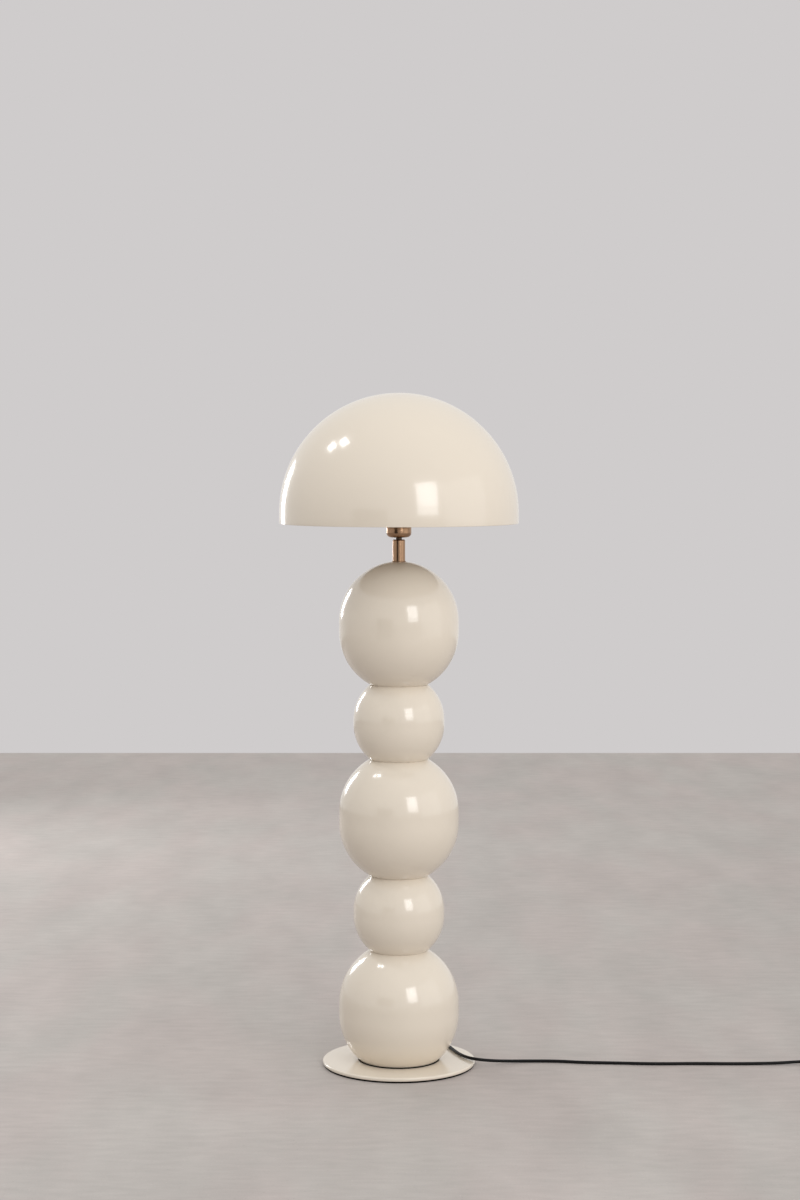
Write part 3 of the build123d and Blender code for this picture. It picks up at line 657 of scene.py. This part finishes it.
class LAMP_OT_stage(bpy.types.Operator):
    """Makes the floor, the lights and the camera"""

    bl_idname = "floor_lamp.stage"
    bl_label = "Room and camera"

    def execute(self, context):
        scene = context.scene
        camera = bpy.data.objects.new("Camera", bpy.data.cameras.new("Camera"))
        scene.collection.objects.link(camera)
        camera.location = (CAMERA_SIDE, -CAMERA_DISTANCE, CAMERA_HEIGHT)
        camera.rotation_euler = (math.radians(90), 0.0, 0.0)
        camera.data.lens = LENS
        camera.data.shift_y = HORIZON_SHIFT
        camera.data.clip_end = CLIP_END
        scene.camera = camera
        scene.view_settings.view_transform = "Standard"

        floor = flat_sheet("floor", FLOOR, screed_floor())
        # a dark cloth left of the camera, out of view, darkens what brass and enamel mirror
        black = moulded("Black cloth", linear("141414"), 0.95, 0.002, 0.0002)
        cloth = flat_sheet("dark_cloth", DARK_CLOTH, black)
        cloth.visible_camera = False

        # the wall is the world, so that it stays plain from every side
        world = bpy.data.worlds.new("Room")
        scene.world = world
        world.use_nodes = True
        tree = world.node_tree
        tree.nodes.clear()
        path = add_node(tree, "ShaderNodeLightPath")
        seen = add_node(
            tree,
            "ShaderNodeMath",
            {0: path.outputs["Is Camera Ray"], 1: path.outputs["Is Transmission Ray"]},
            operation="MAXIMUM",
        )
        wall = add_node(
            tree, "ShaderNodeBackground", {"Color": rgba(colours().wall), "Strength": 1.0}
        )
        air = add_node(
            tree, "ShaderNodeBackground", {"Color": rgba(linear("F4F2F0")), "Strength": AIR_STRENGTH}
        )
        mix = add_node(
            tree,
            "ShaderNodeMixShader",
            {0: seen.outputs[0], 1: air.outputs[0], 2: wall.outputs[0]},
        )
        add_node(tree, "ShaderNodeOutputWorld", {"Surface": mix.outputs[0]})

        for light in LIGHTS:
            soft_light(*light)
        return {"FINISHED"}


# ------------------------------------------------------------------------------------------
# Balls
# ------------------------------------------------------------------------------------------


def ball_tree():
    """Geometry Nodes for a pressed ball: two round parts, a straight band, flat ends with a hole."""
    tree = bpy.data.node_groups.new("Pressed ball", "GeometryNodeTree")
    tree.is_modifier = True
    for name, value in (
        ("Radius", 0.1),
        ("Skirt", 0.018),
        ("Lower flat", 0.048),
        ("Upper flat", 0.048),
        ("Hole", 0.0056),
        ("Corner", 0.0014),
        ("Foot", 0.0),
    ):
        socket = tree.interface.new_socket(name, in_out="INPUT", socket_type="NodeSocketFloat")
        socket.default_value = value
        socket.subtype = "DISTANCE"
    for name, value in (("Rows", 40), ("Segments", 128)):
        socket = tree.interface.new_socket(name, in_out="INPUT", socket_type="NodeSocketInt")
        socket.default_value = value
    tree.interface.new_socket("Finish", in_out="INPUT", socket_type="NodeSocketMaterial")
    tree.interface.new_socket("Geometry", in_out="OUTPUT", socket_type="NodeSocketGeometry")
    known = {socket.name: socket for socket in tree.nodes.new("NodeGroupInput").outputs}
    known["Index"] = add_node(tree, "GeometryNodeInputIndex").outputs[0]
    # each row: name of the result, operation, then what goes in, as a known name or a number
    for name, operation, *values in (
        # height and angle of each flat, seen from the centre of its round part
        ("low share", "DIVIDE", "Lower flat", "Radius"),
        ("low angle", "ARCCOSINE", "low share"),
        ("low sine", "SINE", "low angle"),
        ("low height", "MULTIPLY", "Radius", "low sine"),
        ("high share", "DIVIDE", "Upper flat", "Radius"),
        ("high angle", "ARCCOSINE", "high share"),
        # the points run from the lower hole, up the lower part, up the upper part, to the upper hole
        ("first high", "ADD", "Rows", 1.0),
        ("last high", "MULTIPLY", "Rows", 2.0),
        ("low start", "MULTIPLY", "low angle", -1.0),
        ("low turn", "MAP_RANGE", "Index", 1.0, "Rows", "low start", 0.0),
        ("high turn", "MAP_RANGE", "Index", "first high", "last high", 0.0, "high angle"),
        ("angle", "ADD", "low turn", "high turn"),
        # which points are the holes' edges, the flats' corners and the upper part
        ("middle", "ADD", "Rows", 0.5),
        ("past middle", "SUBTRACT", "Index", "middle"),
        ("from middle", "ABSOLUTE", "past middle"),
        ("end place", "SUBTRACT", "middle", 0.25),
        ("is end", "GREATER_THAN", "from middle", "end place"),
        ("corner place", "SUBTRACT", "middle", 1.0),
        ("is corner", "COMPARE", "from middle", "corner place", 0.1),
        ("is high", "GREATER_THAN", "Index", "middle"),
        # radius of each point
        ("cosine", "COSINE", "angle"),
        ("round radius", "MULTIPLY", "Radius", "cosine"),
        ("is round", "SUBTRACT", 1.0, "is end"),
        ("kept radius", "MULTIPLY", "round radius", "is round"),
        ("hole radius", "MULTIPLY", "Hole", "is end"),
        ("radial", "ADD", "kept radius", "hole radius"),
        # height of each point
        ("sine", "SINE", "angle"),
        ("rise", "MULTIPLY", "Radius", "sine"),
        ("band", "MULTIPLY", "Skirt", "is high"),
        ("centre height", "ADD", "Foot", "low height"),
        ("over centre", "ADD", "rise", "band"),
        ("height", "ADD", "centre height", "over centre"),
        # the path is a circle of 1 m: the section's own X points outwards from it, and its Y down
        ("outward", "SUBTRACT", "radial", 1.0),
        ("downward", "MULTIPLY", "height", -1.0),
        ("count", "ADD", "last high", 2.0),
        ("rounding", "MULTIPLY", "Corner", "is corner"),
    ):
        inputs = {place: known.get(value, value) for place, value in enumerate(values)}
        if operation == "MAP_RANGE":
            node = add_node(tree, "ShaderNodeMapRange", inputs)
        else:
            node = add_node(tree, "ShaderNodeMath", inputs, operation=operation)
        known[name] = node.outputs[0]
    line = add_node(
        tree, "GeometryNodeMeshLine", {"Count": known["count"], "Offset": (0.0, 0.0, 0.0)}
    )
    spot = add_node(
        tree, "ShaderNodeCombineXYZ", {"X": known["outward"], "Y": known["downward"]}
    )
    placed = add_node(
        tree, "GeometryNodeSetPosition", {"Geometry": line.outputs[0], "Position": spot.outputs[0]}
    )
    section = add_node(tree, "GeometryNodeMeshToCurve", {"Mesh": placed.outputs[0]})
    rounded = add_node(
        tree,
        "GeometryNodeFilletCurve",
        {
            "Curve": section.outputs[0],
            "Radius": known["rounding"],
            "Limit Radius": True,
            "Count": 4,
        },
        mode="POLY",
    )
    circle = add_node(
        tree, "GeometryNodeCurvePrimitiveCircle", {"Resolution": known["Segments"], "Radius": 1.0}
    )
    swept = add_node(
        tree,
        "GeometryNodeCurveToMesh",
        {"Curve": circle.outputs[0], "Profile Curve": rounded.outputs[0]},
    )
    merged = add_node(
        tree,
        "GeometryNodeMergeByDistance",
        {"Geometry": swept.outputs[0], "Distance": 0.000002},
    )
    real = add_node(tree, "GeometryNodeRealizeInstances", {"Geometry": merged.outputs[0]})
    coated = add_node(
        tree, "GeometryNodeSetMaterial", {"Geometry": real.outputs[0], "Material": known["Finish"]}
    )
    add_node(tree, "NodeGroupOutput", {0: coated.outputs[0]})
    return tree


def from_tree(name, tree, values, body, wall, material):
    """Runs a Geometry Nodes tree with values given by name, and keeps a plain piece with a wall."""
    host = bpy.data.objects.new(name + "_rule", bpy.data.meshes.new(name + "_rule"))
    bpy.context.scene.collection.objects.link(host)
    modifier = host.modifiers.new("Rule", "NODES")
    modifier.node_group = tree
    for item in tree.interface.items_tree:
        if item.in_out == "INPUT" and item.name in values:
            modifier[item.identifier] = values[item.name]
    bpy.context.view_layer.update()
    ready = host.evaluated_get(bpy.context.evaluated_depsgraph_get())
    mesh = bpy.data.meshes.new_from_object(ready)
    host.modifiers.remove(modifier)
    bpy.data.objects.remove(host)
    shell = bmesh.new()
    shell.from_mesh(mesh)
    bmesh.ops.recalc_face_normals(shell, faces=shell.faces)
    shell.to_mesh(mesh)
    shell.free()
    mesh.name = name
    if wall:
        host = bpy.data.objects.new(name + "_wall", mesh)
        bpy.context.scene.collection.objects.link(host)
        solid = host.modifiers.new("Wall", "SOLIDIFY")
        solid.thickness = wall
        solid.offset = -1.0
        solid.use_even_offset = True
        bpy.context.view_layer.update()
        ready = host.evaluated_get(bpy.context.evaluated_depsgraph_get())
        mesh = bpy.data.meshes.new_from_object(ready)
        bpy.data.objects.remove(host)
        mesh.name = name
    return finish_mesh(mesh, name, material, body)


class LAMP_OT_balls(bpy.types.Operator):
    """Presses the hollow balls and stacks them"""

    bl_idname = "floor_lamp.balls"
    bl_label = "Balls"

    def execute(self, context):
        tree = ball_tree()
        size = sizes()
        enamel = materials()["enamel"]
        for node, skirt, lower, upper in (
            ("bottom_ball", size.large_skirt, size.foot_radius, size.neck_radius),
            ("lower_small_ball", size.small_skirt, size.neck_radius, size.neck_radius),
            ("middle_ball", size.large_skirt, size.neck_radius, size.neck_radius),
            ("upper_small_ball", size.small_skirt, size.neck_radius, size.neck_radius),
            ("top_ball", size.large_skirt, size.neck_radius, size.crown_radius),
        ):
            values = {
                "Radius": radius_of(node),
                "Skirt": skirt,
                "Lower flat": lower,
                "Upper flat": upper,
                "Foot": foot_of(node),
                "Finish": enamel,
            }
            piece = from_tree(node + "_shell", tree, values, "lamp", size.sheet_wall, enamel)
            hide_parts(node)
        return {"FINISHED"}


# ------------------------------------------------------------------------------------------
# Base
# ------------------------------------------------------------------------------------------

# half section of the black ring of painted shade in millimetres: out from the ball's foot, up from the
# disc's top
CONTACT_SHADOW_SECTION = (
    (0.2, 0.0),
    (2.6, 0.0),
    (3.0, 0.3),
    (3.0, 1.9),
    (2.2, 1.5),
    (1.2, 0.8),
    (0.4, 0.15),
)


class LAMP_OT_base(bpy.types.Operator):
    """Makes the disc, its pad and what holds them under the balls"""

    bl_idname = "floor_lamp.base"
    bl_label = "Base"

    def execute(self, context):
        finish = materials()
        radius, low, high = radius_of("base_plate"), foot_of("base_plate"), top_of("base_plate")
        edge = sizes().disc_round
        recess, depth, hole = 14 * MM, 3 * MM, 5.05 * MM
        outline = [
            (hole, low + depth),
            (recess, low + depth),
            (recess, low),
            *arc((radius - edge, low + edge), edge, -90, 0, 8),
            *arc((radius - edge, high - edge), edge, 0, 90, 8),
            (hole, high),
        ]
        disc = finish_mesh(turned_mesh("disc", outline, 192), "disc", finish["enamel"], "lamp", 40)
        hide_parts("base_plate")
        dress("floor_pad", finish["pad"])
        # painted shade: a black ring fills the wedge between the disc and the underside of the bottom
        # ball, standing in for the dark contact shadow there
        foot = sizes().foot_radius
        outline = [(foot + out * MM, high + up * MM) for out, up in CONTACT_SHADOW_SECTION]
        contact_shadow_mesh = turned_mesh("foot_contact_shadow", outline, 128)
        contact_shadow = finish_mesh(contact_shadow_mesh, "foot_contact_shadow", finish["pad"], "lamp", 60)
        for node in ("base_washer", "base_nut", "top_washer", "top_nut"):
            dress(node, finish["zinc"])
        return {"FINISHED"}


# ------------------------------------------------------------------------------------------
# Stem and lampholder
# ------------------------------------------------------------------------------------------


class LAMP_OT_stem(bpy.types.Operator):
    """Makes the brass stem, its washer, the threaded tube and the lampholder"""

    bl_idname = "floor_lamp.stem"
    bl_label = "Stem and lampholder"

    def execute(self, context):
        finish = materials()
        radius, low, high = radius_of("stem"), foot_of("stem"), top_of("stem")
        bore, tube, head = radius - 1.5 * MM, 5.05 * MM, 3 * MM
        foot_edge, head_edge = 0.2 * MM, 1.6 * MM
        outline = [
            (bore, low),
            (radius - foot_edge, low),
            (radius, low + foot_edge),
            (radius, high - head_edge),
            (radius - head_edge, high),
            (tube, high),
            (tube, high - head),
            (bore, high - head),
        ]
        stem_mesh = turned_mesh("stem_tube", outline, 96)
        stem = finish_mesh(stem_mesh, "stem_tube", finish["brass"], "lamp", 30)
        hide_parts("stem")

        radius = radius_of("stem_washer")
        low, high = foot_of("stem_washer"), top_of("stem_washer")
        edge = 0.3 * MM
        outline = [
            (bore, low),
            *arc((radius - edge, low + edge), edge, -90, 0, 4),
            *arc((radius - edge, high - edge), edge, 0, 90, 4),
            (bore, high),
        ]
        ring_mesh = turned_mesh("foot_ring", outline, 96)
        ring = finish_mesh(ring_mesh, "foot_ring", finish["brass"], "lamp", 40)
        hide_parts("stem_washer")

        radius = radius_of("lampholder_cup")
        low, high = foot_of("lampholder_cup"), top_of("lampholder_cup")
        corner, wall, boss, boss_top = 8 * MM, 1 * MM, 8 * MM, 7 * MM
        outline = [
            (tube, low),
            *arc((radius - corner, low + corner), corner, -90, 0, 16),
            *arc((radius - edge, high - edge), edge, 0, 90, 3),
            *arc((radius - wall + edge, high - edge), edge, 90, 180, 3),
            *arc((radius - corner, low + corner), corner - wall, 0, -90, 12),
            (boss, low + wall),
            (boss, low + boss_top),
            (tube, low + boss_top),
        ]
        cup = finish_mesh(turned_mesh("cup", outline, 128), "cup", finish["brass"], "lamp", 35)
        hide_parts("lampholder_cup")

        # the tube's thread shows only in the gap under the cup; its dark colour is painted shade
        dress("centre_tube", finish["thread"])
        dress("lampholder_skirt", finish["thermoset"])
        dress("lampholder_insulator", finish["ceramic"])
        dress("terminal_screws", finish["zinc"])
        dress("screw_shell", finish["contact"])
        dress("centre_contact", finish["contact"])
        return {"FINISHED"}


# ------------------------------------------------------------------------------------------
# Shade and bulb
# ------------------------------------------------------------------------------------------


class LAMP_OT_shade(bpy.types.Operator):
    """Spins the shade with its turned-in hem, and finishes its fitter and ring"""

    bl_idname = "floor_lamp.shade"
    bl_label = "Shade"

    def execute(self, context):
        finish = materials()
        radius, low = radius_of("shade"), foot_of("shade")
        centre = low + sizes().shade_skirt
        wall, hem, fold, edge = sizes().sheet_wall, 4 * MM, 2.2 * MM, 0.8 * MM
        inner = radius - wall
        outline = [
            *arc((radius - fold + edge, low + edge), edge, 180, 270, 6),
            *arc((radius - edge, low + edge), edge, 270, 360, 6),
            *arc((0, centre), radius, 0, 90, 72),
            *arc((0, centre), inner, 90, 0, 72),
            (inner, low + hem),
            (radius - fold, low + hem),
        ]
        dome_mesh = turned_mesh("dome", outline, 192)
        dome = finish_mesh(dome_mesh, "dome", finish["enamel"], "shade_body", 40)
        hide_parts("shade")
        fitter = smoothed_copy("shade_fitter", "fitter", finish["enamel"], "shade_body")
        ring = smoothed_copy("shade_ring", "clamp_ring", finish["thermoset"], "shade_ring_body")
        return {"FINISHED"}


class LAMP_OT_bulb(bpy.types.Operator):
    """Finishes the bulb"""

    bl_idname = "floor_lamp.bulb"
    bl_label = "Bulb"

    def execute(self, context):
        finish = materials()
        globe = smoothed_copy("bulb_globe", "globe", finish["opal"], "bulb")
        cap = smoothed_copy("bulb_cap", "screw_cap", finish["cap"], "bulb")
        bead = smoothed_copy("bulb_cap_insulator", "cap_bead", finish["bead"], "bulb")
        return {"FINISHED"}


# ------------------------------------------------------------------------------------------
# Mains lead, switch and plug
# ------------------------------------------------------------------------------------------

# the lead leaves the bottom ball on a line from the ball's lower centre, in metres
DISC_TOP, BALL_RADIUS, BALL_FOOT = 0.0085, 0.1, 0.065
EXIT_CENTRE = Vector((0.0, 0.0, DISC_TOP + math.sqrt(BALL_RADIUS**2 - BALL_FOOT**2)))
EXIT_TURN, EXIT_DROP = math.radians(80), math.radians(29)
EXIT_WAY = Vector(
    (
        math.cos(EXIT_DROP) * math.cos(EXIT_TURN),
        math.cos(EXIT_DROP) * math.sin(EXIT_TURN),
        -math.sin(EXIT_DROP),
    )
)

# all places from here on are in millimetres; the relief's are distances from EXIT_CENTRE
RELIEF_START, RELIEF_END = 96.5, 120.0
SWITCH_Y = -8.0
LEAD_ROUTE = (
    (27.2, 119.5, 17.0),
    (41.0, 124.5, 13.8),
    (57.0, 122.0, 12.2),
    (71.0, 109.0, 11.6),
    (80.5, 86.0, 11.3),
    (89.5, 54.0, 11.3),
    (100.5, 19.5, 11.3),
    (114.0, -7.5, 11.9),
    (131.0, -25.0, 13.0),
    (156.0, -13.5, 8.0),
    (186.0, 1.5, 3.6),
    (222.0, 7.0, 2.6),
    (266.0, 6.0, 2.6),
    (306.0, -3.0, 2.6),
    (358.0, -6.0, 2.6),
    (424.0, -12.0, 2.6),
    (492.0, -9.5, 2.6),
    (562.0, -11.5, 2.6),
    (628.0, -8.6, 2.6),
    (680.0, SWITCH_Y, 6.0),
    (764.0, SWITCH_Y, 6.0),
    (785.0, SWITCH_Y, 3.5),
    (806.0, SWITCH_Y, 3.5),
)
COIL_X, COIL_RADIUS = 830.0, 33.0
COIL_TURNS, STEPS_PER_TURN = 4.5, 16
# the spline runs this share of the way out to its control points
SPLINE_SHARE = 0.981
# gap under the lowest turns, and lift where the lead crosses a turn
FLOOR_GAP, HUMP = 1.0, 0.8
# share of a turn in which the lead moves to the next one, and the turn at which it leaves
MOVE_SHARE, LEAVES_AT = 0.2, 4.3


def lead_points():
    """The lead's route in metres: from the ball over the disc, the switch and the coil to the plug."""
    lead = sizes().lead_diameter / MM
    points = [
        EXIT_CENTRE / MM + EXIT_WAY * RELIEF_START,
        EXIT_CENTRE / MM + EXIT_WAY * (RELIEF_END - 7.0),
        EXIT_CENTRE / MM + EXIT_WAY * (RELIEF_END + 7.0),
        *LEAD_ROUTE,
    ]
    # three turns on the floor, from the outside in, then one and a half on top, from the inside out
    outer = COIL_RADIUS + lead
    coil_y = SWITCH_Y + outer
    low = FLOOR_GAP + lead / 2
    high = low + lead * math.sqrt(3) / 2
    rings = [outer, COIL_RADIUS, outer - 2 * lead, COIL_RADIUS - lead / 2, COIL_RADIUS + lead / 2]
    heights = [low, low, low, high, high]
    last = len(rings) - 1
    for step in range(1, int(COIL_TURNS * STEPS_PER_TURN) + 1):
        turns = step / STEPS_PER_TURN
        ring = min(int(turns), last)
        # each turn keeps its radius and moves to the next one in its last fifth
        move = min(max((turns - ring - (1 - MOVE_SHARE)) / MOVE_SHARE, 0.0), 1.0)
        move = move * move * (3 - 2 * move)
        following = min(ring + 1, last)
        radius = rings[ring] + (rings[following] - rings[ring]) * move
        height = heights[ring] + (heights[following] - heights[ring]) * move
        # it lifts where it crosses a turn of the upper layer, and at the end where it leaves the coil
        if ring == 3:
            height += HUMP * 4 * move * (1 - move)
        if turns > LEAVES_AT:
            height += HUMP * (turns - LEAVES_AT) / MOVE_SHARE
        angle = math.radians(-90) + 2 * math.pi * turns
        out = radius / SPLINE_SHARE
        points.append((COIL_X + out * math.cos(angle), coil_y + out * math.sin(angle), height))
    tail_y = coil_y + COIL_RADIUS + lead / 2
    plug_y = tail_y + 1.2
    points += [
        (818.0, tail_y, high + HUMP),
        (806.0, tail_y, high),
        (796.0, tail_y, high),
        (784.0, plug_y, 7.0),
        (752.0, plug_y, 7.0),
    ]
    return [Vector(point) * MM for point in points]


def lead_curve(name, points, thickness, material):
    """A round lead as one smooth spline."""
    curve = bpy.data.curves.new(name, "CURVE")
    curve.dimensions = "3D"
    spline = curve.splines.new("NURBS")
    spline.points.add(len(points) - 1)
    for point, place in zip(spline.points, points):
        point.co = (*place, 1.0)
    spline.order_u = 3
    spline.use_endpoint_u = True
    spline.resolution_u = 8
    curve.bevel_depth = thickness / 2
    curve.bevel_resolution = 5
    curve.use_fill_caps = True
    curve.materials.append(material)
    piece = bpy.data.objects.new(name, curve)
    bpy.context.scene.collection.objects.link(piece)
    return piece


class LAMP_OT_lead(bpy.types.Operator):
    """Lays the mains lead with its strain relief, switch, coil, tie and plug"""

    bl_idname = "floor_lamp.lead"
    bl_label = "Lead, switch and plug"

    def execute(self, context):
        finish = materials()
        thickness = sizes().lead_diameter

        # ribbed strain relief, turned about the lead where it leaves the ball
        bore, reach = thickness / 2, RELIEF_END * MM
        wall_in, wall_out = 98.5 * MM, 100 * MM
        ribs = 5
        outline = [
            (bore, RELIEF_START * MM),
            *arc((6.6 * MM, 96.9 * MM), 0.4 * MM, -90, 0, 3),
            *arc((6.6 * MM, 98.1 * MM), 0.4 * MM, 0, 90, 3),
            (5 * MM, wall_in),
            (5 * MM, wall_out),
            (6.5 * MM, wall_out),
            *arc((6.2 * MM, 101.2 * MM), 0.8 * MM, 0, 90, 5),
        ]
        for rib in range(ribs):
            share = rib / ribs
            radius = (5.5 - 1.5 * share) * MM
            start = (102.3 + 3.4 * rib) * MM
            outline += [
                (radius, start),
                (radius - 0.1 * MM, start + 1.7 * MM),
                (radius - 0.85 * MM, start + 2.1 * MM),
                (radius - 0.9 * MM, start + 3.0 * MM),
            ]
        outline += [(3.9 * MM, 119.4 * MM), (3.6 * MM, reach), (bore, reach)]
        turn = EXIT_WAY.to_track_quat("Z", "Y").to_matrix().to_4x4()
        place = Matrix.Translation(EXIT_CENTRE) @ turn
        relief_mesh = turned_mesh("strain_relief", outline, 48, place)
        relief = finish_mesh(relief_mesh, "strain_relief", finish["moulding"], "lamp", 30)
        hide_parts("cord_grommet")
        dress("inner_lead", finish["sheath"])

        on_lead = []
        for node, name, look, slot, body in (
            ("switch_base", "switch_under", "moulding", "black_moulding", "lamp"),
            ("switch_cover", "switch_top", "moulding", "black_moulding", "lamp"),
            ("switch_rocker", "rocker_key", "thermoset", "black_moulding", "rocker"),
            ("plug_body", "plug", "moulding", "black_moulding", "lamp"),
            ("plug_pins", "pins", "nickel", "nickel", "lamp"),
            ("plug_pin_sleeves", "pin_sleeves", "thermoset", "black_moulding", "lamp"),
            ("cord_tie", "tie", "moulding", "black_moulding", "lamp"),
        ):
            piece = smoothed_copy(node, name, finish[look], body)
            on_lead.append(piece)
        dress("switch_screws", finish["zinc"])
        dress("switch_contact", finish["contact"])
        on_lead += [NODES["switch_screws"], NODES["switch_contact"]]

        lead = lead_curve("mains_lead", lead_points(), thickness, finish["sheath"])
        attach(lead, "lamp")
        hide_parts("cord", "cord_coil", "cord_tail")
        return {"FINISHED"}


# ------------------------------------------------------------------------------------------
# Panel and registration
# ------------------------------------------------------------------------------------------

OPERATORS = (
    LAMP_OT_stage,
    LAMP_OT_lead,
    LAMP_OT_base,
    LAMP_OT_balls,
    LAMP_OT_stem,
    LAMP_OT_shade,
    LAMP_OT_bulb,
)


class LAMP_PT_panel(bpy.types.Panel):
    """Lists the lamp's sizes, colours and pieces"""

    bl_idname = "LAMP_PT_panel"
    bl_label = "Stacked ball floor lamp"
    bl_space_type = "VIEW_3D"
    bl_region_type = "UI"
    bl_category = "Floor Lamp"

    def draw(self, context):
        layout = self.layout
        for group in (context.scene.lamp_sizes, context.scene.lamp_colours):
            box = layout.box()
            for name in group.__annotations__:
                box.prop(group, name)
        for operator in OPERATORS:
            layout.operator(operator.bl_idname)


CLASSES = (LampSizes, LampColours, *OPERATORS, LAMP_PT_panel)


def register():
    for cls in CLASSES:
        bpy.utils.register_class(cls)
    bpy.types.Scene.lamp_sizes = bpy.props.PointerProperty(type=LampSizes)
    bpy.types.Scene.lamp_colours = bpy.props.PointerProperty(type=LampColours)


def unregister():
    del bpy.types.Scene.lamp_colours
    del bpy.types.Scene.lamp_sizes
    for cls in reversed(CLASSES):
        bpy.utils.unregister_class(cls)


def main():
    register()
    for operator in OPERATORS:
        group, name = operator.bl_idname.split(".")
        getattr(getattr(bpy.ops, group), name)()


if __name__ == "__main__":
    main()
